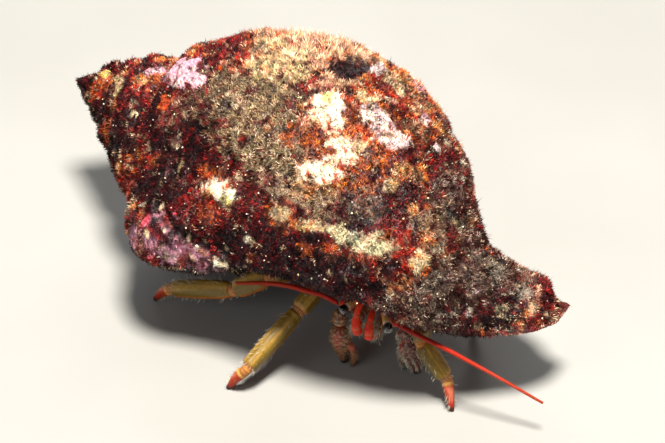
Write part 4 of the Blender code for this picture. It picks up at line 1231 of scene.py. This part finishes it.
def bristles(name, slot_name, material, groups):
    """Joined tufts of bristles. Each group: (limb, shares, angles, lengths mm, lean, seed, tone)."""
    parts, tiles = [], len(groups)
    for tile, (limb, share, angle, length, lean, seed, tone) in enumerate(groups):
        dice = np.random.default_rng(seed)
        count = len(share)
        roots, outs, ways = limb.at(share, angle)
        jitter = dice.normal(size=(count, 3)) * 0.28
        way = unit(outs + ways * lean + jitter)
        bend = unit(ways + dice.normal(size=(count, 3)) * 0.5) * dice.uniform(0.2, 0.7, (count, 1))
        long = length * dice.uniform(0.55, 1.1, count) * MM
        shade = dice.uniform(0.6, 1.15, (count, 1))
        tips = np.array(tone) * shade
        u, v = (tile + 0.03 + 0.94 * share) / tiles, 0.01 + 0.98 * (angle / math.tau % 1)
        wide = dice.uniform(0.035, 0.055, count) * MM
        parts.append((roots, way, bend, long, wide, tips * 0.45, tips, np.stack([u, v], 1)))
    place(filament_mesh(name, *(np.concatenate(part) for part in zip(*parts))), slot_name, material)


TOP_AND_BOTTOM = (math.pi / 2, 1.5 * math.pi)  # angles round a limb


def scatter(count, low, high, middles, wide, seed):
    """Random places on a limb: shares from low to high, angles near the given middles."""
    dice = np.random.default_rng(seed)
    return dice.uniform(low, high, count), dice.choice(middles, count) + dice.normal(size=count) * wide


# Segments of a leg and their radii in mm, (across, up) at the near end, middle and far end
SEGMENTS = {
    "merus": ((0.66, 0.80), (0.80, 1.00), (0.82, 0.96)),
    "carpus": ((0.76, 0.84), (0.92, 1.06), (0.90, 1.02)),
    "propodus": ((0.86, 0.94), (0.92, 1.02), (0.80, 0.88)),
    "dactyl": ((0.60, 0.66), (0.46, 0.50), (0.20, 0.22)),
}
# Joints from the body out to the claw's tip
LEGS = {
    "leg2_r": ((38.2, 6.2, 8.4), (34.9, 8.5, 7.4), (34.2, 11.3, 6.0), (32.4, 17.8, 2.6), (30.7, 18.4, -0.08)),
    "leg3_r": ((38.0, 4.9, 10.2), (30.7, 10.5, 8.2), (27.1, 11.4, 5.6), (19.9, 11.7, 2.8), (17.4, 11.3, -0.08)),
    "leg2_l": ((44.2, 6.4, 8.4), (46.2, 8.6, 8.2), (46.3, 8.9, 6.0), (49.2, 9.0, 2.7), (50.5, 10.1, -0.08)),
    "leg3_l": ((44.6, 4.8, 10.0), (48.8, 5.2, 8.4), (49.2, 3.4, 6.2), (47.4, 0.6, 2.9), (46.3, -1.3, -0.08)),
}
HIPS = {
    "leg2_r": (39.8, 6.3, 9.6), "leg3_r": (39.8, 5.0, 11.2),
    "leg2_l": (42.8, 6.3, 9.6), "leg3_l": (43.0, 4.9, 11.2),
}


def bend(a, b, c):
    """Half of the turn at b, in radians."""
    first, second = b - a, c - b
    return math.acos(np.clip(unit(first) @ unit(second), -1, 1)) / 2


def leg_swell(share, angle, run):
    """A leg's section: flattened sides, a low keel on top, thinner behind each joint."""
    keel = 0.05 * hump(np.abs(angle - math.pi / 2), 0, 0.35) - 0.04 * hump(np.abs(angle - math.pi), 0, 0.4)
    neck = -0.10 * hump(share, 0.09, 0.05) + 0.03 * hump(share, 0.93, 0.04)
    return 0.965 + keel + neck


def toe_swell(share, angle, run):
    ribs = 0.04 * np.cos(6 * angle) * smooth(0.1, 0.4, share)
    return 0.97 + ribs - 0.08 * hump(share, 0.84, 0.03)


FOLD = 0.16  # mm, between the folds of a joint's skin


def ring_swell(share, angle, run):
    return 0.97 + 0.03 * np.cos(math.tau * run / FOLD)


def build_legs():
    materials = {
        "leg": chitin("leg"), "toe": chitin("toe", 0.30, wet=0.12),
        "joint": chitin("joint", 0.5, 0.07, 0.1, 0.03),
    }
    bristle = bristle_material()
    for number, (leg, joints) in enumerate(LEGS.items()):
        joints = [np.array(joint) for joint in joints]
        groups = []
        for i, (segment, radii) in enumerate(SEGMENTS.items()):
            a, b = joints[i], joints[i + 1]
            trim = [0.05, 0.05]
            if i:
                trim[0] += 0.42 * radii[0][1] * math.tan(bend(joints[i - 1], a, b))
            if i < 3:
                trim[1] += 0.42 * radii[2][1] * math.tan(bend(a, b, joints[i + 2]))
            middle = (a + b) / 2
            toe = segment == "dactyl"
            if toe:
                middle = middle + np.array((0, 0, 0.28))
            swell, ends = (toe_swell, (1, 0.8)) if toe else (leg_swell, (1, 1))
            limb = Limb([a, middle, b], radii, 32, 0.08, trim, swell, ends=ends)
            seed = 10 * number + i
            tone = toe_tones(limb, seed) if toe else leg_tones(limb, OLIVE if i else DARK_OLIVE, seed)
            slot, material = ("toe_orange", materials["toe"]) if toe else ("leg_olive", materials["leg"])
            skin(f"{leg}_{segment}", limb, tone, slot, material)
            count = int(limb.length * (12 if toe else 8))
            length = 0.75 if segment == "propodus" else 0.5
            groups.append(tuft(limb, count, 0.06, 0.90, TOP_AND_BOTTOM, 0.35, length, 0.7, seed, BRISTLE))
            short = scatter(count // 2, 0.05, 0.95, (0.0, math.pi), 0.9, seed + 500)
            groups.append((limb, *short, 0.32, 1.2, seed + 50, BRISTLE_DARK))
            if not toe:
                cuff = np.linspace(0, math.tau, 17)[:-1]
                groups.append((limb, np.full(16, 0.955), cuff, 0.55, 1.5, seed + 90, BRISTLE))
        build_joints(leg, joints, materials["joint"])
        bristles(f"{leg}_bristles", "leg_olive", bristle, groups)


def toe_tones(limb, seed):
    share, up = limb.grid()[0], limb.out[..., 2].ravel()
    return layered(
        ramp_tones(share, (0, EDGE), (0.12, PALE_GOLD), (0.2, TOE), (0.6, TOE), (0.8, RED), (1, RED)),
        # painted highlight along the toe's upper side
        (TOE_HIGHLIGHT, 0.7 * hump(up, 0.55, 0.15) * smooth(0.12, 0.3, share) * (1 - smooth(0.6, 0.8, share))),
        (DARK_RED, smooth(0.1, 0.5, streaks(limb, 20, seed)) * 0.6),
        (CLAW_DARK, smooth(0.80, 0.87, share) * 0.97),
    )


def build_joints(leg, joints, material):
    """The soft skins between a leg's segments, and its hip, as one piece."""
    limbs = []
    for i in (1, 2, 3):
        into, out = unit(joints[i] - joints[i - 1]), unit(joints[i + 1] - joints[i])
        radius = 0.66 if i < 3 else 0.52
        path = [joints[i] - into * 0.55, joints[i], joints[i] + out * 0.55]
        limbs.append(Limb(path, [(radius, radius * 1.08)] * 3, 24, 0.06, (0, 0), ring_swell))
    hip, knee = np.array(HIPS[leg]), joints[0] + 0.3 * unit(joints[1] - joints[0])
    limbs.append(Limb([hip, (hip + joints[0]) / 2, knee], (0.75, 0.80, 0.62), 24, 0.08, (0, 0), ring_swell))
    shapes = []
    for limb in limbs:
        folds = np.cos(math.tau * limb.grid()[2] / FOLD)
        shapes.append(limb.shape(mix((0.42, 0.17, 0.035), (0.17, 0.05, 0.015), smooth(0, 1, folds) * 0.6)))
    place(join(f"{leg}_joints", shapes), "leg_olive", material)


def bristle_material():
    m = Nodes("bristles")
    return m.finish(m.tone(), m.between(m.noise(0.1 * MM, 1.0), 0.3, 0.7, 0.5, 0.3))


# ---------------------------------------------------------------- claws, head and body
# Paths of a claw's parts, (across, ahead, up) in mm
CLAWS = {
    "r": dict(arm=((40.0, 7.7, 7.1), (39.2, 8.8, 7.2), (38.5, 9.6, 7.0)),
              wrist=((38.4, 9.8, 6.9), (38.3, 10.4, 6.4), (38.4, 10.5, 5.5)),
              hand=((38.4, 10.5, 5.4), (38.3, 10.3, 3.9), (38.2, 9.8, 2.3), (38.2, 9.3, -0.1)),
              thumb=((39.5, 10.1, 2.9), (39.6, 9.8, 1.8), (39.1, 9.4, -0.1))),
    "l": dict(arm=((42.7, 7.3, 7.0), (43.4, 8.0, 7.0), (44.0, 8.4, 6.6)),
              wrist=((44.1, 8.5, 6.5), (44.4, 8.6, 6.0), (44.5, 8.5, 5.2)),
              hand=((44.5, 8.4, 5.1), (44.7, 8.1, 3.7), (44.9, 7.6, 2.2), (44.9, 7.0, -0.1)),
              thumb=((43.7, 7.9, 2.9), (43.5, 7.5, 1.8), (43.8, 7.1, -0.1))),
}
SHOULDER = (41.3, 7.6, 8.2)  # where both arms start


def beads(angle, run, across=9, along=0.34):
    """Rows of low beads round and along a limb, from 0 to 1."""
    row = np.floor(run / along)
    q = angle / math.tau * across + 0.5 * (row % 2)
    x, y = (q - np.floor(q) - 0.5) * 2, (run / along - row - 0.5) * 2
    return np.clip(1 - (x * x + y * y) * 1.3, 0, 1)


def hand_swell(share, angle, run):
    return 0.955 + 0.07 * beads(angle, run) * smooth(0.02, 0.12, share) * (1 - smooth(0.62, 0.8, share))


def wrist_swell(share, angle, run):
    return 0.96 + 0.06 * beads(angle, run, 8, 0.30) * smooth(0.1, 0.3, share)


def thumb_swell(share, angle, run):
    teeth = 0.10 * np.clip(np.cos(math.tau * run / 0.42), 0, 1) * hump(np.abs(angle - math.pi), 0, 0.5)
    return 0.95 + 0.05 * beads(angle, run, 6, 0.30) * (1 - smooth(0.5, 0.75, share)) - teeth * 0.5


def claw_tones(limb, side, seed, finger=False):
    share, angle, run = limb.grid()
    spots = rough_noise(limb.flat(), 0.5 * MM, seed)
    fine = rough_noise(limb.flat(), 0.16 * MM, seed + 2)
    # the left claw's darker base and fainter beads are partly its own darker look and partly painted shade, as
    # it lies in the shade under the shell
    base, pale = ((0.17, 0.070, 0.026), 0.45) if side == "r" else ((0.090, 0.024, 0.024), 0.3)
    bead = beads(angle, run, *((6, 0.30) if finger else (9, 0.34)))
    tone = layered(
        base,
        (CLAW_DARK, smooth(0.0, 0.5, -spots)),
        (DARK_RED, smooth(0.1, 0.5, streaks(limb, 14, seed)) * 0.6),
        (CLAW_PALE, smooth(0.35, 0.95, bead) * pale * (1 - smooth(0.6, 0.8, share))),
        (CLAW_PALE, smooth(0.38, 0.6, fine) * 0.25),
    )
    return mix(tone, (0.012, 0.010, 0.012), smooth(0.84, 0.93, share)) if finger or limb.length > 4 else tone


# Radii in mm, facets round, length of a facet in mm, and section of each part of a claw
CLAW_PARTS = {
    "arm": ((0.62, 0.72, 0.66), 28, 0.07, wrist_swell),
    "wrist": ((0.62, 0.78, 0.74), 32, 0.05, wrist_swell),
    "hand": (((0.80, 0.75), (1.10, 0.98), (0.92, 0.80), (0.34, 0.36)), 54, 0.045, hand_swell),
    "thumb": (((0.28, 0.36), (0.34, 0.40), (0.24, 0.28)), 36, 0.045, thumb_swell),
}


def build_claws():
    hard = chitin("claw", 0.26, 0.08, 0.12, 0.02)
    bristle = bristle_material()
    for number, (side, claw) in enumerate(CLAWS.items()):
        dark = side == "l"
        groups = []
        for i, (part, path) in enumerate(claw.items()):
            radii, sides, step, swell = CLAW_PARTS[part]
            limb = Limb(path, radii, sides, step, swell=swell)
            seed = 60 + 10 * number + i
            skin(f"claw_{part}_{side}", limb, claw_tones(limb, side, seed, part == "thumb"), "claw_brown", hard)
            many = int(limb.length * (70 if dark else 18) * (1 if part in ("hand", "wrist") else 0.5))
            dice = np.random.default_rng(seed)
            share, angle = dice.uniform(0.08, 0.82, many), dice.uniform(0, math.tau, many)
            # the bristles stand in tufts between the beads
            row = np.round(share * limb.length / 0.34) * 0.34 / limb.length
            share = np.clip(row + dice.normal(size=many) * 0.012, 0.03, 0.9)
            angle = (np.round(angle / math.tau * 9) + 0.12 * dice.normal(size=many)) / 9 * math.tau
            length, tone = (0.55, BRISTLE) if dark else (0.36, BRISTLE_DARK)
            groups.append((limb, share, angle, length, 0.8, seed, tone))
        bristles(f"claw_{side}_bristles", "claw_brown", bristle, groups)
        arm, wrist, hand = claw["arm"], claw["wrist"], claw["hand"]
        knuckles = [
            Limb([a, np.add(a, b) / 2, b], (0.48, 0.50, 0.48), 20, 0.06, (0, 0), ring_swell)
            for a, b in ((arm[-1], wrist[0]), (wrist[-1], hand[0]), (SHOULDER, arm[0]))
        ]
        palm, root = np.array(hand[1]), np.array(claw["thumb"][0])
        path = [palm * 0.55 + root * 0.45, root, root + np.array((0, -0.05, -0.35))]
        knuckles.append(Limb(path, (0.42, 0.36, 0.28), 20, 0.06, (0, 0)))
        joints = join(f"claw_{side}_joints", [limb.shape((0.30, 0.06, 0.03)) for limb in knuckles])
        place(joints, "claw_brown", hard)


# Foot and end of each eyestalk; path and radii in mm of each feeler and mouth foot
STALKS = {"r": ((40.66, 9.26, 9.52), (39.7, 11.45, 9.05)), "l": ((42.14, 9.16, 9.22), (44.0, 11.3, 8.70))}
FEELERS = {
    "antennule_r": (
        ((41.3, 9.4, 9.85), (41.05, 11.0, 9.9), (41.0, 11.8, 9.0), (41.1, 12.1, 7.9), (41.35, 12.1, 6.9)),
        (0.26, 0.27, 0.34, 0.50, 0.44)),
    "antennule_l": (
        ((41.5, 9.3, 8.6), (42.0, 10.6, 8.9), (42.2, 11.4, 8.4), (42.3, 11.8, 7.7), (42.4, 11.9, 6.6)),
        (0.26, 0.28, 0.34, 0.44, 0.42)),
    "antenna_base_r": (((39.4, 9.3, 8.3), (39.1, 10.1, 8.35), (38.7, 11.0, 8.7)), (0.40, 0.42, 0.34)),
    "antenna_base_l": (((43.2, 8.9, 8.0), (43.9, 9.7, 8.0), (44.5, 10.3, 8.3)), (0.40, 0.42, 0.34)),
    "antenna_whip_r": (
        ((38.6, 11.1, 8.8), (36.7, 11.5, 9.4), (34.7, 11.8, 9.4), (31.6, 12.0, 8.8), (28.2, 12.9, 8.0)),
        (0.27, 0.26, 0.25, 0.22, 0.15)),
    "antenna_whip_l": (
        ((44.6, 10.4, 8.35), (48.1, 10.4, 7.9), (53.0, 9.6, 6.3), (59.0, 8.3, 3.7)), (0.27, 0.25, 0.20, 0.13)),
    "mouth_foot_r": (((40.5, 8.8, 7.6), (40.3, 10.1, 7.0), (40.3, 10.7, 5.6)), (0.40, 0.44, 0.32)),
    "mouth_foot_l": (((42.0, 8.6, 7.4), (42.3, 9.8, 6.8), (42.2, 10.4, 5.5)), (0.40, 0.44, 0.32)),
}
ANNULUS = 0.19  # mm, length of a ring of a feeler
KNUCKLES = (0.30, 0.56, 0.80)  # shares of the length of a jointed limb


def whip_swell(share, angle, run):
    return 0.93 + 0.07 * np.cos(math.tau * run / ANNULUS)


def knuckle_swell(share, angle, run):
    necks = zip((0.20, 0.22, 0.12), KNUCKLES, (0.03, 0.03, 0.025))
    return 0.98 - sum(deep * hump(share, at, wide) for deep, at, wide in necks)


def eye_material():
    """Wet black, sown with tiny pale dots."""
    m = Nodes("cornea")
    dots = m.between(m.cells(0.135 * MM), 0.16, 0.24, 1, 0)
    return m.finish(
        m.blend("MIX", dots, (0.004, 0.004, 0.005), (0.62, 0.62, 0.55)),
        m.between(m.noise(0.05 * MM, 1.0), 0.3, 0.7, 0.10, 0.05), Coat_Weight=0.8, Coat_Roughness=0.03)


def build_eyes():
    tan, eye = chitin("eyestalk", 0.35, 0.06, 0.10, 0.012), eye_material()
    for side, (foot, end) in STALKS.items():
        foot, end = np.array(foot), np.array(end)
        way = unit(end - foot)
        path = [foot, (foot + end) / 2, end + way * 0.05]
        stalk = Limb(path, (0.40, 0.34, 0.42), 28, 0.06, (0, 0), ends=(1, 0.3))
        tone = ramp_tones(
            stalk.grid()[0], (0, DARK_RED), (0.3, EDGE), (0.7, TAN), (0.86, PALE_GOLD), (0.94, (0.85, 0.62, 0.38)),
            (1, (0.05, 0.03, 0.02)))
        tone = mix(tone, DARK_RED, smooth(0.1, 0.5, streaks(stalk, 18, 5)) * 0.5)
        skin(f"eyestalk_{side}", stalk, tone, "eyestalk_tan", tan)
        path = [end + way * far for far in (0, 0.42, 0.84)]
        ball = Limb(path, (0.44, 0.46, 0.44), 44, 0.03, (0, 0), ends=(0.7, 1.6))
        skin(f"cornea_{side}", ball, (0.005, 0.005, 0.005), "eye_black", eye)


def feeler_tones(name, limb, seed):
    """A whip ringed in red, a brown mouth foot, or a bright red jointed feeler."""
    share, _, run = limb.grid()
    spots = rough_noise(limb.flat(), 0.25 * MM, seed)
    if "whip" in name:
        ring = 0.5 - 0.5 * np.cos(math.tau * run / ANNULUS)
        # painted shade: the left whip starts dark red at its base, under the shell
        start = DARK_RED if name.endswith("_l") else RED
        return layered(
            ramp_tones(share, (0, start), (0.25, RED), (1, PALE_RED)),
            (DARK_RED, ring * 0.55),
            ((0.55, 0.06, 0.015), smooth(0.75, 1, 1 - ring) * 0.3),
        )
    if "mouth" in name:
        return mix(CLAW_BROWN, EDGE, smooth(0, 0.5, spots))
    return layered(
        BRIGHT_RED,
        (DARK_RED, smooth(0.1, 0.5, -spots) * 0.5),
        (PALE_RED, smooth(0.1, 0.5, spots) * 0.3),
        *(((0.75, 0.20, 0.10), hump(share, joint + 0.03, 0.02) * 0.6) for joint in KNUCKLES),
    )


def build_feelers():
    red, dark = chitin("feeler", 0.34, 0.06, 0.08, 0.012, 0.10), chitin("mouth_foot", 0.32, 0.08, 0.12)
    groups = []
    for number, (name, (path, radii)) in enumerate(FEELERS.items()):
        whip, mouth = "whip" in name, "mouth" in name
        sides, step, swell, end = (20, ANNULUS / 5, whip_swell, 0.5) if whip else (28, 0.05, knuckle_swell, 1)
        limb = Limb(path, radii, sides, step, swell=swell, ends=(1, end))
        slot, material = ("claw_brown", dark) if mouth else ("feeler_red", red)
        skin(name, limb, feeler_tones(name, limb, number), slot, material)
        if whip:
            where = np.repeat(np.arange(4, int(limb.length / ANNULUS)) * ANNULUS / limb.length, 2)
            angles = np.tile((0.4, 3.5), len(where) // 2)
            groups.append((limb, where, angles, 0.22, 1.0, 200 + number, (0.50, 0.07, 0.03)))
        elif "base" in name:
            groups.append(tuft(limb, 40, 0.5, 0.97, (0.5, 2.5, 4.5), 0.7, 0.5, 1.0, 210 + number, BRISTLE))
        elif mouth:
            groups.append(tuft(limb, 150, 0.3, 0.98, TOP_AND_BOTTOM, 0.6, 0.8, 0.9, 220 + number, BRISTLE))
        else:
            groups.append(tuft(limb, 26, 0.86, 0.985, (4.4, 4.9), 0.5, 0.75, 1.6, 230 + number, SALMON))
    bristles("head_bristles", "feeler_red", bristle_material(), groups)


def inside_shell(turn, out, high):
    """Crab-frame place inside the whorl, by turn, radius and height in grown shell lengths."""
    grown, a = GROWTH ** (turn / 360) * SHELL_LENGTH, math.radians(turn)
    spot = shell_to_world(np.array([grown * out * math.cos(a), grown * out * math.sin(a), grown * high]))
    yaw = math.radians(YAW)
    x, y = spot[0] + MIDDLE[0], spot[1] + MIDDLE[1]
    across, ahead = x * math.cos(yaw) - y * math.sin(yaw), -x * math.sin(yaw) - y * math.cos(yaw)
    return across / MM, ahead / MM, spot[2] / MM


def shield_swell(share, angle, run):
    """The carapace: a cross groove, a keel in the middle, and low lumps."""
    groove = -0.05 * hump(share, 0.55 + 0.08 * np.cos(2 * angle), 0.03) - 0.03 * hump(share, 0.82, 0.02)
    keel = 0.03 * hump(np.abs(angle - math.pi / 2), 0, 0.25)
    return 0.965 + groove + keel + 0.012 * np.cos(9 * angle + 14 * share)


def belly_swell(share, angle, run):
    """Soft skin in uneven folds across the body."""
    folds = 0.020 * np.cos(math.tau * run / 0.55 + 1.3 * np.sin(2 * angle))
    folds = folds + 0.012 * np.cos(math.tau * run / 0.23 + 2 * angle)
    return 0.955 + folds + 0.015 * np.cos(3 * angle + 9 * share)


def belly_path():
    """From the shield back and round inside the whorl, with the radii."""
    path = [(40.9, 4.3, 14.4), (40.2, 4.0, 15.6), inside_shell(-52, 0.150, 0.70)]
    radii = [(1.5, 1.3), (1.9, 1.6), (2.6, 2.3)]
    for turn in np.linspace(-70, -198, 9):
        deep = np.clip((-70 - turn) / 60, 0, 1)
        path.append(inside_shell(turn, 0.160 + 0.006 * deep, 0.66 - 0.03 * deep))
        stout = float(np.interp(-turn, (70, 112, 156, 198), (2.9, 3.2, 2.9, 2.2)))
        radii.append((stout, stout))
    return path, radii


SMALL_LEGS = {
    "leg4_r": ((38.3, 5.0, 12.9), (37.2, 6.4, 12.4), (37.0, 7.8, 11.6)),
    "leg4_l": ((44.0, 5.0, 12.9), (45.0, 6.4, 12.4), (45.2, 7.8, 11.6)),
    "leg5_r": ((39.4, 7.4, 15.0), (38.2, 8.5, 14.9), (37.2, 9.0, 14.0)),
    "leg5_l": ((43.9, 4.9, 14.8), (44.9, 6.0, 14.7), (45.2, 6.9, 14.0)),
}


def build_body():
    hard, soft = chitin("shield", 0.30, 0.14, 0.22, 0.03), soft_material()
    small = chitin("small_leg", 0.4, 0.08, 0.12)
    back = ((41.3, 9.1, 9.5), (41.3, 7.4, 10.9), (41.2, 5.8, 12.4), (41.0, 4.6, 13.9))
    shield = Limb(back, ((1.25, 1.0), (2.2, 1.45), (2.55, 1.7), (2.5, 1.8)), 64, 0.10, (0, 0.1), shield_swell)
    spots = rough_noise(shield.flat(), 0.9 * MM, 2)
    tone = layered(
        OLIVE,
        (CLAW_BROWN, smooth(0, 0.4, spots)),
        (PALE_GOLD, smooth(0.25, 0.6, -spots) * 0.6),
        (DARK_RED, hump(shield.grid()[0], 0.03, 0.03) * 0.7),
    )
    skin("shield", shield, tone, "leg_olive", hard)

    belly = Limb(*belly_path(), 72, 0.13, (0, 0.3), belly_swell)
    spots, fine = rough_noise(belly.flat(), 2.2 * MM, 3), rough_noise(belly.flat(), 0.5 * MM, 4)
    tone = layered(
        FLESH,
        (FLESH_RED, smooth(-0.1, 0.5, spots) * 0.8),
        ((0.78, 0.60, 0.46), smooth(0.2, 0.6, fine) * 0.4),
        (FLESH_RED, (1 - smooth(0.0, 0.08, belly.grid()[0])) * 0.7),
    )
    skin("soft_body", belly, tone, "soft_body", soft,
         "carapace_rear", "abdomen_front", "abdomen_middle", "abdomen_end")

    fan_path = [inside_shell(t, 0.166, 0.63) for t in (-197, -208, -216)]
    fan = Limb(fan_path, ((1.5, 1.2), (1.8, 0.9), (1.0, 0.6)), 48, 0.08, swell=wrist_swell, ref=AHEAD)
    tone = mix(TAN, OLIVE, smooth(0, 0.5, rough_noise(fan.flat(), 0.6 * MM, 1)))
    skin("tail_fan", fan, tone, "soft_body", small)
    groups = [tuft(fan, 160, 0.55, 0.97, (0.0, 1.6, 3.1, 4.7), 0.9, 0.6, 1.4, 300, BRISTLE)]
    for number, (name, path) in enumerate(SMALL_LEGS.items()):
        limb = Limb(path, (0.40, 0.44, 0.30), 28, 0.06, swell=knuckle_swell)
        tone = mix((0.60, 0.33, 0.14), EDGE, smooth(0, 0.5, rough_noise(limb.flat(), 0.4 * MM, number)) * 0.7)
        tone = mix(tone, CLAW_DARK, smooth(0.93, 0.98, limb.grid()[0]) * 0.8)
        skin(name, limb, tone, "soft_body", small)
        groups.append(tuft(limb, 90, 0.35, 0.97, (1.6, 4.7), 0.7, 0.6, 1.0, 310 + number, BRISTLE))
    groups.append(tuft(shield, 200, 0.04, 0.95, (0.1, 3.0), 0.35, 0.6, 0.8, 330, BRISTLE))
    bristles("body_bristles", "soft_body", bristle_material(), groups)


def soft_material():
    """Thin moist skin over flesh."""
    m = Nodes("soft_body")
    fine = m.noise(0.18 * MM)
    creases = m.between(m.cells(0.4 * MM), 0.0, 0.5, 0, 1)
    return m.finish(
        m.mottled(m.between(fine, 0.3, 0.7, 0, 1), (0.85, 0.78, 0.76), (1.1, 1.08, 1.05)),
        m.between(fine, 0.3, 0.7, 0.55, 0.35), Subsurface_Weight=0.15, Subsurface_Scale=0.5 * MM,
        Normal=m.bump(creases, 0.05 * MM, 0.5, Normal=m.bump(fine, 0.04 * MM, 0.6)))


# ---------------------------------------------------------------- floor, light and camera
VIEW_DOWN = 38  # degrees
CAMERA_AWAY = 240 * MM
LENS = 133.2  # mm
AIM_RIGHT, AIM_LOW = 2.13 * MM, 3.44 * MM  # of the axis's middle, to take in the feelers
FLOOR_HALF = 2.0  # metres


def build_stage():
    corners = [(x * FLOOR_HALF, y * FLOOR_HALF, 0) for x, y in ((-1, -1), (1, -1), (1, 1), (-1, 1))]
    floor = add_mesh("floor", corners, [(0, 1, 2, 3)])
    m = Nodes("floor")
    patches = m.between(m.noise(30 * MM, 2.0), 0.3, 0.7, 0, 1)
    shade = m.blend("MIX", patches, (0.29, 0.285, 0.265), (0.31, 0.305, 0.285))
    floor.data.materials.append(m.finish(shade, 0.9))


def add_light(name, where, aim, size, watts, tint=(1, 1, 1)):
    lamp = bpy.data.lights.new(name, "AREA")
    lamp.shape, lamp.size, lamp.energy, lamp.color = "DISK", size, watts, tint
    thing = bpy.data.objects.new(name, lamp)
    thing.location = where
    thing.rotation_euler = (Vector(aim) - Vector(where)).to_track_quat("-Z", "Y").to_euler()
    bpy.context.scene.collection.objects.link(thing)


def build_light():
    middle = (0, 0, 0.012)
    add_light("key", (0.02, -0.08, 0.37), middle, 0.09, 4.2, (1, 0.96, 0.90))
    add_light("fill", (-0.30, -0.35, 0.22), middle, 0.35, 0.6, (0.93, 0.96, 1))
    add_light("back", (-0.05, 0.40, 0.25), middle, 0.30, 1.2)
    world = bpy.data.worlds.new("studio")
    world.use_nodes = True
    sky = world.node_tree.nodes["Background"].inputs
    sky["Color"].default_value, sky["Strength"].default_value = (0.95, 0.97, 1, 1), 0.12
    bpy.context.scene.world = world
    bpy.context.scene.view_settings.view_transform = "Standard"


def build_camera():
    """Looks along +Y and down, at the height and distance that frame the shell and all its feelers."""
    down = math.radians(VIEW_DOWN)
    back = Vector((0, -math.cos(down), math.sin(down)))
    axis_middle = Vector(shell_to_world(np.array([0, 0, SHELL_LENGTH / 2])))
    aim = axis_middle + Vector((AIM_RIGHT, 0, 0)) - Vector((0, math.sin(down), math.cos(down))) * AIM_LOW
    eye = axis_middle + back * CAMERA_AWAY
    camera = bpy.data.cameras.new("camera")
    camera.lens, camera.sensor_width = LENS, 36
    camera.clip_start = 0.01
    thing = bpy.data.objects.new("camera", camera)
    thing.location = eye
    thing.rotation_euler = (aim - eye).to_track_quat("-Z", "Y").to_euler()
    bpy.context.scene.collection.objects.link(thing)
    bpy.context.scene.camera = thing


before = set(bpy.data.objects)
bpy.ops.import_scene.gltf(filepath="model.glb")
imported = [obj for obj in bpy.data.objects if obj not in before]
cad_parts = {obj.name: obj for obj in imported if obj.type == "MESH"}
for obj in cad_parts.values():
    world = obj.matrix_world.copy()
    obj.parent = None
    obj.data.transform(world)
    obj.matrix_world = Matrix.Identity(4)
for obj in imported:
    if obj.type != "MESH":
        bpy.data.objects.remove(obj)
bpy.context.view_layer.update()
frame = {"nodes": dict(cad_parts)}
shell, *ground = build_shell()
build_turf(shell, *ground)
build_settlers(shell)
build_legs()
build_claws()
build_eyes()
build_feelers()
build_body()
build_stage()
build_light()
build_camera()
bpy.context.view_layer.update()
